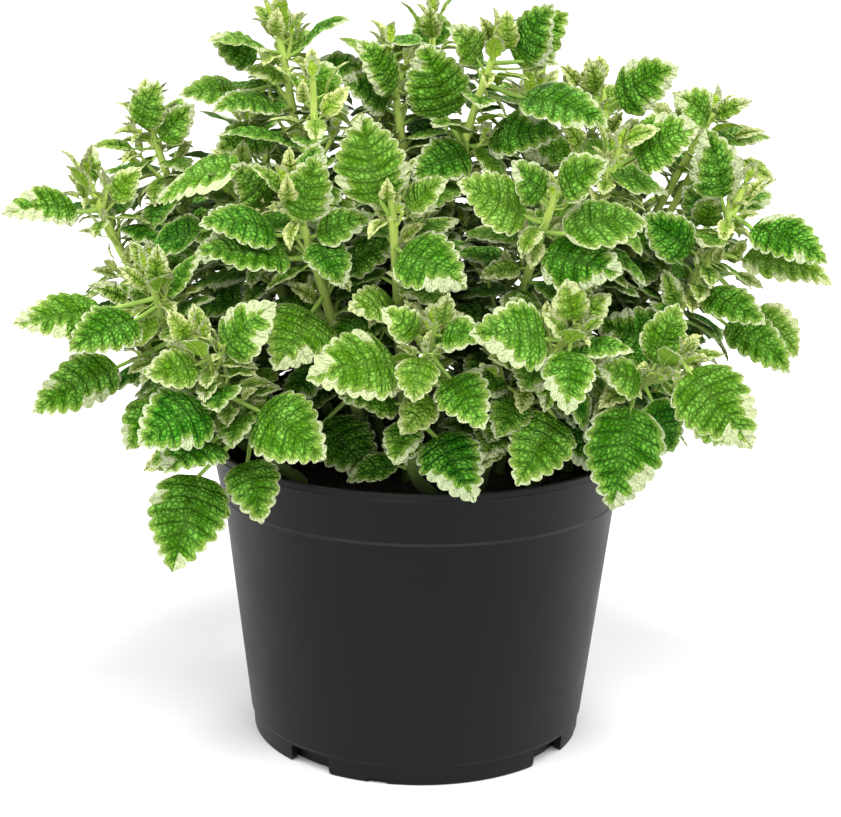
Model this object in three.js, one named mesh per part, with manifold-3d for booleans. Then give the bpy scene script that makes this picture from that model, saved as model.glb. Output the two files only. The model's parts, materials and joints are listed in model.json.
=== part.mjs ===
// A potted mint plant: a round nursery pot, its potting soil, and thirty leafy stems.
// Millimetres, +Z up. The origin is on the pot's axis, at the level of its feet.
// The plant's front faces -Y.

import * as THREE from 'three';
import { mergeVertices } from 'three/addons/utils/BufferGeometryUtils.js';
import Module from 'manifold-3d';

const wasm = await Module();
wasm.setup();

// ---------------------------------------------------------------- driving dimensions

// The pot: a thin moulded shell with a flared rim band, a rolled lip and four feet.
const POT = {
  height: 108,
  rimRadius: 75, // outside of the lip
  bandTopRadius: 74.1, // rim band just under the lip
  bandFootRadius: 71, // rim band where it steps in to the body
  bandFoot: 89.5, // height of that step
  bodyTopRadius: 70.2,
  bodyFootRadius: 60.6,
  bodyFoot: 7.8, // height of the small step above the feet
  footRadius: 59.4,
  footWidth: 2.4,
  wall: 1.4,
  floorUnder: 5, // underside of the raised floor
  floorTop: 7,
  lipHeight: 2.8,
  segments: 40,
};
const NOTCH = { height: 4.8, width: 17.6, count: 4, firstAzimuth: -38 }; // between the feet
const SLOT = { height: 1.4, width: 7, fromNotch: 25.5 }; // shallow slot in each foot
const DRAIN = { radius: 4, ring: 44, count: 6 }; // drainage holes in the floor

const GAP = 0.3; // clearance between separate pieces that touch
const SOIL = { top: 98, lump: 0.9, segments: 22 };

// Stems are square, thick in the soil and thin at the tip. Radii are to the corners.
const STEM = { footRadius: 2.4, tipRadius: 1.3, depth: 22, steps: 6, above: 3 };

// Leaves: a lens-like blade on a short stalk. Width, arch and cup are shares of the blade,
// and so is the stalk's length. `thickness` is from the mid-surface to either face. `flare`
// is how much further than the blade its stalk leans away from the stem, in degrees.
const BLADE = { width: 0.75, thickness: 0.7, arch: 0.07, cup: 0.04, tooth: 1.07, notch: 0.9 };
const STALK = { length: 0.3, shortest: 2.6, halfWidth: 0.95, depth: 1.1, rootShare: 0.5, flare: -16 };

// Leaves shorter than `below` are young: narrow, folded, and without a stalk.
const YOUNG = { below: 15, width: 0.56, thickness: 0.5, cup: 0.2, flare: 30 };

// Room kept around a blade, between stalks, and from the pot.
const CLEAR = { across: 0.9, above: 1.7, stalks: 2.4, stalkToBlade: 0.4, pot: 1.6 };

// Pairs of leaves down a stem: distance from the tip, blade length, and how far they open.
const PAIRS = [
  { at: 1.5, length: 9, open: 15 },
  { at: 7, length: 14, open: 32 },
  { at: 16, length: 21, open: 48 },
  { at: 29, length: 27, open: 62 },
  { at: 44, length: 30, open: 72 },
  { at: 60, length: 30, open: 80 },
  { at: 77, length: 27, open: 84 },
];
const SHOOT = { length: 9, open: 28, chance: 0.25 }; // small leaves in the axils
const LOWEST_PAIR = 16; // no leaf is rooted closer than this to the soil
const INWARD = -0.3; // low leaves open at least this much away from the pot's axis
const BACKWARD = -0.2; // and, beside listed leaves, at least this much to the back
const DROOP = 0.012; // how much a blade hangs for each degree that it opens past 30

// ---------------------------------------------------------------- the stems

// Each stem rises from its foot in the soil (x, y), bends once and ends at its tip. The
// leaves listed on a stem are those that show from the front, one line each: how far from
// the tip it is rooted, where its blade begins, where it ends, and how far the blade is
// turned up to face the front, in degrees. The other leaves grow by rule.
const STEMS = [
  { name: 'front_left', foot: [-40, -36], bend: [-52, -60, 112], tip: [-69, -84, 160], leaves: [
    [23, [-66, -84, 138], [-84, -106, 132], 70],
    [25, [-51, -78, 136], [-29, -97, 126], 70],
    [10, [-61, -82, 155], [-45, -87, 172], 55],
    [9, [-69, -86, 152], [-83, -98, 151], 60],
    [5, [-72, -84, 159], [-77, -90, 170], 70],
    [45, [-55, -73, 118], [-49, -90, 103], 65],
    [41, [-71, -69, 112], [-77, -90, 86], 60],
    [36, [-66, -76, 125], [-77, -101, 123], 45],
    [28, [-56, -77, 139], [-51, -79, 143], 50],
  ] },
  { name: 'left', foot: [-50, -16], bend: [-81, -35, 121], tip: [-88, -52, 175], leaves: [
    [10, [-103, -51, 162], [-129, -69, 160], 45],
    [13, [-92, -51, 160], [-110, -66, 154], 50],
    [27, [-100, -45, 142], [-126, -59, 130], 50],
    [9, [-86, -52, 170], [-85, -53, 184], 80],
    [7, [-89, -52, 170], [-97, -57, 177], 45],
    [19, [-85, -51, 157], [-97, -44, 149], 40],
  ] },
  { name: 'far_left', foot: [-44, 2], bend: [-93, -3, 135], tip: [-116, -8, 201], leaves: [
    [14, [-118, -11, 188], [-140, -27, 190], 50],
    [16, [-106, -9, 191], [-97, -6, 203], 55],
    [11, [-116, -9, 192], [-116, -9, 204], 80],
    [36, [-106, -7, 165], [-114, -12, 168], 45],
    [36, [-102, -7, 170], [-101, -8, 177], 50],
  ] },
  { name: 'upper_left', foot: [-36, 22], bend: [-79, 20, 149], tip: [-99, 18, 221], leaves: [
    [9, [-99, 14, 214], [-93, 11, 231], 70],
    [15, [-103, 16, 207], [-117, 11, 208], 30],
    [13, [-93, 14, 210], [-81, 12, 223], 60],
    [9, [-101, 16, 212], [-109, 13, 213], 20],
    [13, [-101, 16, 205], [-106, 9, 202], 45],
  ] },
  { name: 'mid_left', foot: [-26, -8], bend: [-44, -19, 153], tip: [-63, -30, 205], leaves: [
    [19, [-51, -28, 195], [-62, -41, 208], 70],
    [4, [-60, -39, 208], [-89, -34, 195], 40],
    [16, [-74, -29, 185], [-94, -18, 176], 40],
    [44, [-61, -23, 160], [-78, -9, 153], 40],
  ] },
  { name: 'front_mid_left', foot: [-16, -26], bend: [-27, -46, 154], tip: [-42, -66, 206], leaves: [
    [20, [-46, -61, 189], [-69, -73, 194], 35],
    [28, [-42, -63, 182], [-70, -76, 186], 30],
    [16, [-38, -67, 194], [-33, -69, 215], 75],
    [7, [-42, -66, 200], [-42, -71, 209], 80],
    [20, [-34, -63, 189], [-16, -64, 196], 40],
    [37, [-25, -55, 177], [-6, -64, 187], 40],
    [42, [-35, -58, 164], [-45, -84, 151], 75],
    [45, [-34, -52, 166], [-43, -55, 172], 50],
    [82, [-33, -40, 123], [-16, -56, 108], 50],
  ] },
  { name: 'top_left', foot: [-17, 10], bend: [-39, 7, 179], tip: [-51, 4, 252], leaves: [
    [11, [-54, 0, 243], [-73, -10, 246], 15],
    [13, [-43, 3, 243], [-26, -3, 254], 20],
    [6, [-51, 1, 247], [-50, -4, 257], 80],
    [8, [-46, 2, 247], [-42, 1, 256], 10],
    [21, [-48, 1, 233], [-62, -4, 236], 30],
    [30, [-49, -2, 223], [-71, -15, 224], 25],
    [36, [-52, 3, 214], [-71, -9, 209], 45],
    [21, [-40, 3, 234], [-20, 1, 239], 45],
  ] },
  { name: 'top_left_front', foot: [-10, -8], bend: [-37, -17, 170], tip: [-37, -26, 235], leaves: [
    [15, [-34, -26, 223], [-25, -28, 233], 60],
    [10, [-40, -27, 227], [-40, -31, 235], 70],
  ] },
  { name: 'top_mid_left', foot: [-4, 14], bend: [1, 6, 170], tip: [-13, -2, 245], leaves: [
    [19, [-11, -6, 229], [-23, -10, 247], 35],
    [25, [-13, -2, 224], [-28, -11, 234], 50],
    [4, [-2, -4, 246], [-18, 1, 246], 15],
  ] },
  { name: 'top_back', foot: [4, 26], bend: [3, 25, 178], tip: [2, 24, 254], leaves: [
    [12, [2, 22, 246], [1, 17, 258], 80],
  ] },
  { name: 'top_mid', foot: [8, 2], bend: [-3, -9, 177], tip: [24, -20, 248], leaves: [
    [4, [27, -21, 245], [26, -27, 258], 80],
    [8, [32, -21, 241], [40, -31, 260], 45],
    [10, [31, -21, 239], [44, -30, 241], 25],
    [38, [7, -16, 222], [-1, -28, 247], 80],
    [12, [17, -20, 242], [9, -29, 253], 65],
    [38, [21, -16, 214], [45, -25, 219], 45],
    [35, [15, -20, 211], [-4, -30, 204], 60],
    [15, [32, -20, 230], [60, -31, 221], 30],
  ] },
  { name: 'front_mid', foot: [-4, -26], bend: [-7, -50, 152], tip: [-10, -74, 206], leaves: [
    [12, [-13, -75, 201], [-19, -83, 229], 80],
    [22, [-7, -72, 186], [13, -88, 178], 65],
    [9, [-6, -72, 200], [7, -76, 209], 45],
    [21, [-7, -65, 188], [0, -66, 194], 50],
    [45, [-8, -62, 167], [-23, -78, 168], 50],
    [6, [-11, -73, 202], [-11, -78, 209], 80],
  ] },
  { name: 'front_centre', foot: [4, -48], bend: [-10, -68, 111], tip: [4, -86, 165], leaves: [
    [6, [-1, -85, 162], [-12, -90, 171], 70],
    [3, [6, -89, 163], [19, -99, 165], 60],
    [1, [6, -88, 166], [8, -94, 177], 65],
    [9, [0, -88, 156], [-2, -103, 146], 70],
    [9, [9, -85, 149], [19, -102, 138], 65],
    [22, [3, -81, 142], [-6, -90, 132], 65],
    [29, [-8, -79, 139], [-25, -95, 144], 45],
    [34, [5, -76, 128], [17, -95, 113], 55],
    [13, [-7, -85, 152], [-34, -102, 152], 55],
  ] },
  { name: 'upper_right_mid', foot: [18, -18], bend: [27, -44, 154], tip: [41, -70, 205], leaves: [
    [6, [37, -71, 203], [27, -79, 215], 60],
    [3, [42, -73, 205], [55, -83, 216], 60],
    [3, [42, -74, 203], [58, -83, 207], 45],
    [13, [32, -69, 197], [11, -80, 209], 55],
    [22, [38, -68, 186], [61, -84, 182], 60],
    [30, [31, -59, 179], [18, -65, 177], 55],
    [36, [27, -56, 177], [26, -60, 185], 60],
    [16, [43, -69, 193], [70, -56, 197], 35],
  ] },
  { name: 'front_right_mid', foot: [20, -42], bend: [25, -64, 135], tip: [48, -86, 166], leaves: [
    [7, [44, -86, 163], [36, -92, 171], 60],
    [2, [46, -87, 168], [43, -93, 182], 65],
    [4, [45, -89, 159], [44, -104, 143], 85],
    [7, [38, -87, 163], [15, -99, 168], 65],
    [29, [43, -74, 134], [30, -90, 116], 75],
  ] },
  { name: 'front_right', foot: [38, -36], bend: [52, -58, 129], tip: [81, -80, 155], leaves: [
    [21, [66, -78, 139], [60, -91, 109], 75],
    [1, [82, -88, 153], [99, -108, 135], 60],
    [6, [84, -79, 144], [100, -70, 126], 50],
    [17, [73, -74, 140], [81, -70, 122], 60],
    [19, [69, -76, 145], [54, -83, 153], 50],
  ] },
  { name: 'right', foot: [52, -10], bend: [86, -11, 142], tip: [109, -12, 201], leaves: [
    [14, [101, -14, 196], [94, -17, 220], 75],
    [11, [111, -17, 187], [134, -33, 178], 55],
    [25, [109, -14, 176], [138, -26, 171], 35],
    [30, [92, -14, 178], [74, -18, 191], 70],
    [39, [96, -18, 164], [115, -32, 157], 40],
    [42, [105, -13, 153], [127, -21, 138], 50],
    [30, [115, -14, 157], [133, -10, 139], 35],
    [51, [87, -15, 158], [82, -16, 172], 60],
    [61, [84, -19, 146], [59, -27, 155], 75],
    [30, [100, -14, 174], [102, -16, 181], 60],
    [6, [110, -14, 197], [115, -17, 204], 50],
  ] },
  { name: 'far_right_up', foot: [36, 10], bend: [68, 9, 162], tip: [100, 8, 223], leaves: [
    [3, [96, 5, 221], [85, 7, 230], 50],
    [3, [100, 5, 222], [112, -1, 228], 55],
    [2, [107, 6, 215], [117, 1, 218], 40],
    [9, [85, 6, 221], [78, 13, 225], 40],
  ] },
  { name: 'top_right', foot: [24, 8], bend: [81, 5, 160], tip: [60, 2, 233], leaves: [
    [8, [57, 0, 228], [55, -3, 242], 60],
    [9, [65, -3, 227], [84, -12, 240], 65],
    [1, [52, 0, 232], [46, -2, 239], 60],
  ] },
  { name: 'right_mid', foot: [28, -12], bend: [48, -27, 160], tip: [63, -42, 216], leaves: [
    [1, [64, -45, 218], [74, -52, 223], 55],
    [8, [67, -43, 213], [86, -57, 224], 60],
    [11, [60, -45, 207], [78, -38, 202], 35],
  ] },
  { name: 'mid_right_back', foot: [44, 8], bend: [68, 7, 152], tip: [93, 6, 202], leaves: [
    [24, [98, 5, 185], [89, -4, 199], 65],
  ] },
  { name: 'back_left', foot: [-24, 26], bend: [-46, 42, 150], tip: [-64, 50, 220], leaves: [] },
  { name: 'back_left_low', foot: [-40, 34], bend: [-74, 46, 122], tip: [-92, 50, 182], leaves: [] },
  { name: 'back_mid', foot: [-8, 36], bend: [-14, 54, 158], tip: [-18, 64, 230], leaves: [] },
  { name: 'back_mid_low', foot: [-20, 50], bend: [-34, 72, 122], tip: [-44, 79, 178], leaves: [] },
  { name: 'back_right', foot: [22, 34], bend: [34, 52, 156], tip: [42, 58, 228], leaves: [] },
  { name: 'back_right_low', foot: [36, 40], bend: [64, 58, 124], tip: [82, 64, 186], leaves: [] },
  { name: 'back_low', foot: [12, 54], bend: [16, 76, 120], tip: [20, 84, 172], leaves: [] },
  { name: 'far_right_low', foot: [52, 16], bend: [84, 28, 124], tip: [102, 34, 168], leaves: [] },
  { name: 'far_left_low', foot: [-54, 16], bend: [-80, 26, 118], tip: [-96, 32, 160], leaves: [] },
];

// ---------------------------------------------------------------- small helpers

const UP = new THREE.Vector3(0, 0, 1);
const FRONT = new THREE.Vector3(0, -1, 0);
const radians = THREE.MathUtils.degToRad;

let seed = 4211;
function random() {
  seed = (1664525 * seed + 1013904223) % 4294967296;
  return seed / 4294967296;
}

function offset(point, direction, amount) {
  return point.clone().addScaledVector(direction, amount);
}

function squared(vector, against) {
  // The part of a direction that is square to another, as a unit vector.
  return vector.clone().addScaledVector(against, -vector.dot(against)).normalize();
}

function solidFrom(geometry) {
  geometry.deleteAttribute('normal');
  geometry.deleteAttribute('uv');
  const merged = mergeVertices(geometry, 1e-4);
  const triangles = [];
  const index = merged.index.array;
  for (let i = 0; i < index.length; i += 3) {
    const [a, b, c] = [index[i], index[i + 1], index[i + 2]];
    if (a !== b && b !== c && c !== a) triangles.push(a, b, c);
  }
  return new wasm.Manifold(new wasm.Mesh({
    numProp: 3,
    vertProperties: new Float32Array(merged.attributes.position.array),
    triVerts: new Uint32Array(triangles),
  }));
}

function solidOf(points, triangles) {
  // A closed mesh given by its corner points and its triangles.
  return new wasm.Manifold(new wasm.Mesh({
    numProp: 3,
    vertProperties: new Float32Array(points.flatMap((p) => [p.x, p.y, p.z])),
    triVerts: new Uint32Array(triangles.flat()),
  }));
}

function geometryOf(solid) {
  const mesh = solid.getMesh();
  const geometry = new THREE.BufferGeometry();
  const corners = new Float32Array(mesh.vertProperties);
  geometry.setAttribute('position', new THREE.BufferAttribute(corners, 3));
  geometry.setIndex(new THREE.BufferAttribute(new Uint32Array(mesh.triVerts), 1));
  geometry.computeVertexNormals();
  return geometry;
}

function wholeBody(solid) {
  // The body without the small hollows and scraps that fusing can leave.
  return solid.decompose().reduce((best, body) => (body.volume() > best.volume() ? body : best));
}

function turnedGeometry(profile, segments) {
  // A lathe shape about +Z from (radius, height) points.
  const geometry = new THREE.LatheGeometry(profile.map(([r, z]) => new THREE.Vector2(r, z)), segments);
  geometry.rotateX(Math.PI / 2);
  return geometry;
}

function turnedSolid(profile, segments) {
  return solidFrom(turnedGeometry(profile, segments));
}

// ---------------------------------------------------------------- pot and soil

function potProfile() {
  const lipFoot = POT.height - POT.lipHeight;
  return [
    [0, POT.floorUnder],
    [POT.footRadius - POT.footWidth, POT.floorUnder],
    [POT.footRadius - POT.footWidth, 0],
    [POT.footRadius, 0],
    [POT.bodyFootRadius - 0.5, POT.bodyFoot - 0.6],
    [POT.bodyFootRadius, POT.bodyFoot],
    [POT.bodyTopRadius, POT.bandFoot - 0.2],
    [POT.bandFootRadius, POT.bandFoot],
    [POT.bandTopRadius, lipFoot],
    [POT.rimRadius, lipFoot + 0.8],
    [POT.rimRadius - 0.4, POT.height],
    [POT.rimRadius - 1.8, POT.height],
    [innerRadius(lipFoot), lipFoot],
    [innerRadius(POT.bandFoot), POT.bandFoot],
    [innerRadius(POT.bodyFoot), POT.bodyFoot],
    [innerRadius(POT.bodyFoot) - 1, POT.floorTop],
    [0, POT.floorTop],
  ];
}

function outerRadius(z) {
  if (z < POT.bandFoot) {
    const share = (z - POT.bodyFoot) / (POT.bandFoot - POT.bodyFoot);
    return THREE.MathUtils.lerp(POT.bodyFootRadius, POT.bodyTopRadius, share);
  }
  const share = (z - POT.bandFoot) / (POT.height - POT.lipHeight - POT.bandFoot);
  return THREE.MathUtils.lerp(POT.bandFootRadius, POT.bandTopRadius, share);
}

function innerRadius(z) {
  return outerRadius(z) - (z < POT.bandFoot ? POT.wall : POT.wall + 0.6);
}

function radialBlock(width, height, azimuth) {
  // A block through the skirt, rounded at its upper corners, pointing along an azimuth
  // that is measured from the front towards +X.
  const corner = height * 0.35;
  const outline = new THREE.Shape();
  outline.moveTo(-width / 2, -1);
  outline.lineTo(width / 2, -1);
  outline.lineTo(width / 2, height - corner);
  outline.lineTo(width / 2 - corner, height);
  outline.lineTo(-width / 2 + corner, height);
  outline.lineTo(-width / 2, height - corner);
  const block = new THREE.ExtrudeGeometry(outline, { depth: 16, bevelEnabled: false });
  block.rotateX(Math.PI / 2); // the outline stands up, and the block runs to the front
  block.translate(0, -POT.footRadius + 8, 0);
  block.rotateZ(radians(azimuth));
  return solidFrom(block);
}

function makePot() {
  let pot = turnedSolid(potProfile(), POT.segments);
  for (let i = 0; i < NOTCH.count; i++) {
    const azimuth = NOTCH.firstAzimuth + (i * 360) / NOTCH.count;
    pot = pot.subtract(radialBlock(NOTCH.width, NOTCH.height, azimuth));
    pot = pot.subtract(radialBlock(SLOT.width, SLOT.height, azimuth + SLOT.fromNotch));
  }
  for (let i = 0; i < DRAIN.count; i++) {
    const hole = new THREE.CylinderGeometry(DRAIN.radius, DRAIN.radius, 10, 8);
    hole.rotateX(Math.PI / 2);
    hole.translate(DRAIN.ring, 0, POT.floorUnder);
    hole.rotateZ((i * 2 * Math.PI) / DRAIN.count);
    pot = pot.subtract(solidFrom(hole));
  }
  return pot;
}

function soilLump(x, y) {
  // Low crumbly rises and dips of the soil's surface.
  const waves = Math.sin(0.21 * x + 1) * Math.cos(0.17 * y) + 0.6 * Math.sin(0.43 * x - 0.31 * y);
  return SOIL.lump * waves;
}

function makeSoil(stems) {
  const profile = [
    [0, POT.floorTop + GAP],
    [innerRadius(POT.bodyFoot) - 1 - GAP, POT.floorTop + GAP],
    [innerRadius(POT.bodyFoot) - GAP, POT.bodyFoot + GAP],
    [innerRadius(POT.bandFoot) - GAP, POT.bandFoot],
    [innerRadius(SOIL.top - 2) - GAP, SOIL.top - 2],
    [48, SOIL.top],
    [24, SOIL.top],
    [0, SOIL.top],
  ];
  const lathe = turnedGeometry(profile, SOIL.segments);
  const position = lathe.attributes.position;
  for (let i = 0; i < position.count; i++) {
    if (position.getZ(i) > SOIL.top - 1) {
      position.setZ(i, SOIL.top + soilLump(position.getX(i), position.getY(i)));
    }
  }
  let soil = solidFrom(lathe);
  for (const stem of stems) soil = soil.subtract(stemHole(stem));
  return soil;
}

// ---------------------------------------------------------------- stems

function stemPath({ foot, bend, tip }) {
  // Points from just above the soil to the tip, and how far each is from the tip.
  const start = new THREE.Vector3(foot[0], foot[1], SOIL.top + STEM.above);
  const curve = new THREE.QuadraticBezierCurve3(
    start, new THREE.Vector3(...bend), new THREE.Vector3(...tip));
  const points = curve.getPoints(STEM.steps);
  const fromTip = points.map(() => 0);
  for (let i = STEM.steps - 1; i >= 0; i--) {
    fromTip[i] = fromTip[i + 1] + points[i].distanceTo(points[i + 1]);
  }
  return { points, fromTip };
}

function onStem(stem, distance) {
  // The place and the direction of a stem at a distance from its tip.
  const { points, fromTip } = stem;
  let i = STEM.steps - 1;
  while (i > 0 && fromTip[i] < distance) i--;
  const share = (fromTip[i] - distance) / (fromTip[i] - fromTip[i + 1]);
  const place = points[i].clone().lerp(points[i + 1], THREE.MathUtils.clamp(share, 0, 1));
  const along = points[i + 1].clone().sub(points[i]).normalize();
  return { place, along };
}

function stemRadius(stem, distance) {
  const share = Math.min(distance / stem.fromTip[0], 1);
  return THREE.MathUtils.lerp(STEM.tipRadius, STEM.footRadius, share);
}

function stemCourse(stem) {
  // Closely spaced places on a stem with its radius there, to keep leaves off it.
  const course = [];
  for (let d = 0; d <= stem.fromTip[0]; d += 3) {
    course.push({ place: onStem(stem, d).place, radius: stemRadius(stem, d) });
  }
  return course;
}

function squareRing(centre, along, side, radius) {
  const across = squared(side, along);
  const other = new THREE.Vector3().crossVectors(along, across);
  return [
    offset(centre, across, radius),
    offset(centre, other, radius),
    offset(centre, across, -radius),
    offset(centre, other, -radius),
  ];
}

function prismFromRings(rings) {
  const triangles = [[0, 2, 1], [0, 3, 2]];
  for (let k = 0; k + 1 < rings.length; k++) {
    for (let i = 0; i < 4; i++) {
      const a = 4 * k + i;
      const b = 4 * k + ((i + 1) % 4);
      triangles.push([a, b, b + 4], [a, b + 4, a + 4]);
    }
  }
  const top = 4 * (rings.length - 1);
  triangles.push([top, top + 1, top + 2], [top, top + 2, top + 3]);
  return solidOf(rings.flat(), triangles);
}

function stemSolid(stem) {
  const foot = stem.points[0];
  const bottom = foot.clone().setZ(SOIL.top - STEM.depth);
  const rings = [
    squareRing(bottom, UP, stem.side, STEM.footRadius),
    squareRing(foot, UP, stem.side, STEM.footRadius),
  ];
  for (let i = 1; i <= STEM.steps; i++) {
    const { along } = onStem(stem, stem.fromTip[i]);
    rings.push(squareRing(stem.points[i], along, stem.side, stemRadius(stem, stem.fromTip[i])));
  }
  return prismFromRings(rings);
}

function stemHole(stem) {
  // A plain square hole in the soil, a little wider and deeper than the stem's foot.
  const radius = STEM.footRadius + GAP * Math.SQRT2;
  const bottom = stem.points[0].clone().setZ(SOIL.top - STEM.depth - GAP);
  const mouth = stem.points[0].clone().setZ(SOIL.top + 2 * STEM.above);
  return prismFromRings([bottom, mouth].map((place) => squareRing(place, UP, stem.side, radius)));
}

// ---------------------------------------------------------------- leaves

function fullness(share) {
  // Half-width of a blade as a share of its widest, from stalk (0) to tip (1).
  const s = THREE.MathUtils.clamp(share, 0.015, 1);
  return (Math.sqrt(s) * (1 - s) ** 0.8) / 0.4206;
}

function makeLeaf(stem, root, base, tip, facing) {
  // A blade from base to tip whose upper face is turned along `facing`, and its stalk.
  const along = tip.clone().sub(base);
  const length = along.length();
  along.normalize();
  const normal = squared(facing, along);
  const across = new THREE.Vector3().crossVectors(normal, along);
  const leaf = { stem, root, base, tip, length, along, normal, across };
  const young = length < YOUNG.below;
  leaf.teeth = young ? 0 : length > 22.5 ? 3 : 2;
  leaf.halfWidth = ((young ? YOUNG.width : BLADE.width) * length) / 2;
  leaf.cup = young ? YOUNG.cup : BLADE.cup;
  leaf.outline = bladeOutline(leaf.teeth);
  leaf.samples = bladeSamples(leaf);
  leaf.stalk = stalkSamples(leaf);
  leaf.centre = base.clone().lerp(tip, 0.5);
  leaf.reach = length * 0.56 + 3;
  return leaf;
}

function bladeOutline(teeth) {
  // Shares along the blade and out to its edge: a tooth, a notch, a tooth ... to the tip.
  if (!teeth) return [[0.38, 1]];
  const count = 2 * teeth - 1;
  const outline = [];
  for (let i = 0; i < count; i++) {
    const share = 0.13 + (0.76 * i) / (count - 1);
    outline.push([share, fullness(share) * (i % 2 ? BLADE.notch : BLADE.tooth)]);
  }
  return outline;
}

function rise(leaf, share, out) {
  // Height of the blade's mid-surface over the straight line from base to tip.
  const arch = BLADE.arch * leaf.length * 4 * share * (1 - share);
  return arch + leaf.cup * leaf.halfWidth * Math.abs(out);
}

function onBlade(leaf, share, out) {
  // A point of the mid-surface. `out` runs from -1 to 1 across the widest part.
  return leaf.base.clone()
    .addScaledVector(leaf.along, share * leaf.length)
    .addScaledVector(leaf.across, out * leaf.halfWidth)
    .addScaledVector(leaf.normal, rise(leaf, share, out));
}

function bladeSamples(leaf) {
  const samples = [leaf.tip];
  for (const [share, out] of leaf.outline) {
    samples.push(onBlade(leaf, share, out), onBlade(leaf, share, -out));
  }
  const rows = Math.max(2, Math.round(leaf.length / 4));
  for (let i = 1; i < rows; i++) {
    const share = i / rows;
    for (const out of [-0.55, 0, 0.55]) samples.push(onBlade(leaf, share, out * fullness(share)));
  }
  return samples;
}

function stalkSamples(leaf) {
  // Points along the stalk, past the stem's own width.
  const length = leaf.root.distanceTo(leaf.base);
  const samples = [];
  for (let d = 2.5; d <= length; d += 2) {
    samples.push(leaf.root.clone().lerp(leaf.base, d / length));
  }
  return samples;
}

function leafSolid(leaf) {
  return leaf.teeth ? toothedLeafSolid(leaf) : youngLeafSolid(leaf);
}

function youngLeafSolid(leaf) {
  // A small folded leaf without a stalk: a slim lens from inside the stem to the tip.
  const [[share, out]] = leaf.outline;
  const middle = onBlade(leaf, share, 0);
  const points = [
    leaf.root,
    leaf.tip,
    onBlade(leaf, share, out),
    onBlade(leaf, share, -out),
    offset(middle, leaf.normal, YOUNG.thickness),
    offset(middle, leaf.normal, -YOUNG.thickness),
  ];
  return solidOf(points, [
    [0, 4, 2], [4, 1, 2], [0, 3, 4], [4, 3, 1],
    [0, 2, 5], [5, 2, 1], [0, 5, 3], [5, 1, 3],
  ]);
}

function toothedLeafSolid(leaf) {
  // Stalk: a three-sided bar, flat on top, from inside the stem to the blade's base.
  const reach = leaf.base.clone().sub(leaf.root).normalize();
  const stalkAcross = squared(leaf.across, reach);
  const stalkNormal = new THREE.Vector3().crossVectors(reach, stalkAcross);
  const [width, depth] = [STALK.halfWidth, STALK.depth];
  const points = [
    offset(leaf.base, leaf.across, width), // 0 left of the base
    offset(leaf.base, leaf.across, -width), // 1 right of the base
    offset(leaf.base, leaf.normal, -depth), // 2 underside of the base
    offset(leaf.root, stalkAcross, STALK.rootShare * width), // 3 to 5 the same in the stem
    offset(leaf.root, stalkAcross, -STALK.rootShare * width),
    offset(leaf.root, stalkNormal, -STALK.rootShare * depth),
  ];
  const triangles = [[1, 0, 3], [1, 3, 4], [0, 2, 5], [0, 5, 3], [2, 1, 4], [2, 4, 5], [3, 5, 4]];

  // Blade: both faces share the outline's points, and each fans out from the midrib.
  const middle = onBlade(leaf, 0.42, 0);
  const top = points.push(offset(middle, leaf.normal, BLADE.thickness)) - 1;
  const under = points.push(offset(middle, leaf.normal, -BLADE.thickness)) - 1;
  const left = [0];
  const right = [1];
  for (const [share, out] of leaf.outline) {
    left.push(points.push(onBlade(leaf, share, out)) - 1);
    right.push(points.push(onBlade(leaf, share, -out)) - 1);
  }
  const tip = points.push(leaf.tip.clone()) - 1;
  left.push(tip);
  right.push(tip);
  triangles.push([top, 0, 1], [under, 2, 0], [under, 1, 2]);
  for (let i = 1; i < left.length; i++) {
    triangles.push([top, left[i], left[i - 1]], [under, left[i - 1], left[i]]);
    triangles.push([top, right[i - 1], right[i]], [under, right[i], right[i - 1]]);
  }
  return solidOf(points, triangles);
}

// ---------------------------------------------------------------- keeping leaves apart

function nearBlade(point, leaf, extra) {
  const away = point.clone().sub(leaf.base);
  const share = away.dot(leaf.along) / leaf.length;
  const slack = (CLEAR.across + extra) / leaf.length;
  if (share < -slack || share > 1 + slack) return false;
  const out = away.dot(leaf.across);
  const edge = leaf.halfWidth * fullness(share) * BLADE.tooth;
  if (Math.abs(out) > edge + CLEAR.across + extra) return false;
  const inside = THREE.MathUtils.clamp(share, 0, 1);
  const height = away.dot(leaf.normal) - rise(leaf, inside, out / leaf.halfWidth);
  return Math.abs(height) < CLEAR.above + extra;
}

function leavesTouch(a, b) {
  if (a.centre.distanceTo(b.centre) > a.reach + b.reach) return false;
  const meets = (points, leaf, extra) => points.some((p) => nearBlade(p, leaf, extra));
  const sameStem = a.stem === b.stem;
  const small = Math.min(a.length, b.length) < YOUNG.below;
  const extra = sameStem && small ? -CLEAR.across : 0; // buds may press together
  if (meets(a.samples, b, extra) || meets(b.samples, a, extra)) return true;
  if (sameStem && small) return false;
  if (meets(a.stalk, b, CLEAR.stalkToBlade) || meets(b.stalk, a, CLEAR.stalkToBlade)) return true;
  if (sameStem) return false;
  return a.stalk.some((p) => b.stalk.some((q) => p.distanceTo(q) < CLEAR.stalks));
}

function leafHitsStem(leaf, stem) {
  if (leaf.stem === stem) return false;
  return stem.course.some(({ place, radius }) => {
    if (place.distanceTo(leaf.centre) > leaf.reach + 12) return false;
    if (nearBlade(place, leaf, radius)) return true;
    return leaf.stalk.some((p) => p.distanceTo(place) < radius + CLEAR.stalks);
  });
}

function hitsPot(point) {
  const radius = Math.hypot(point.x, point.y);
  const insidePot = radius < innerRadius(Math.min(point.z, POT.height)) - CLEAR.pot;
  if (insidePot) return point.z < SOIL.top + STEM.above + CLEAR.pot;
  return point.z < POT.height + CLEAR.pot && radius < outerRadius(point.z) + CLEAR.pot + 0.4;
}

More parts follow.
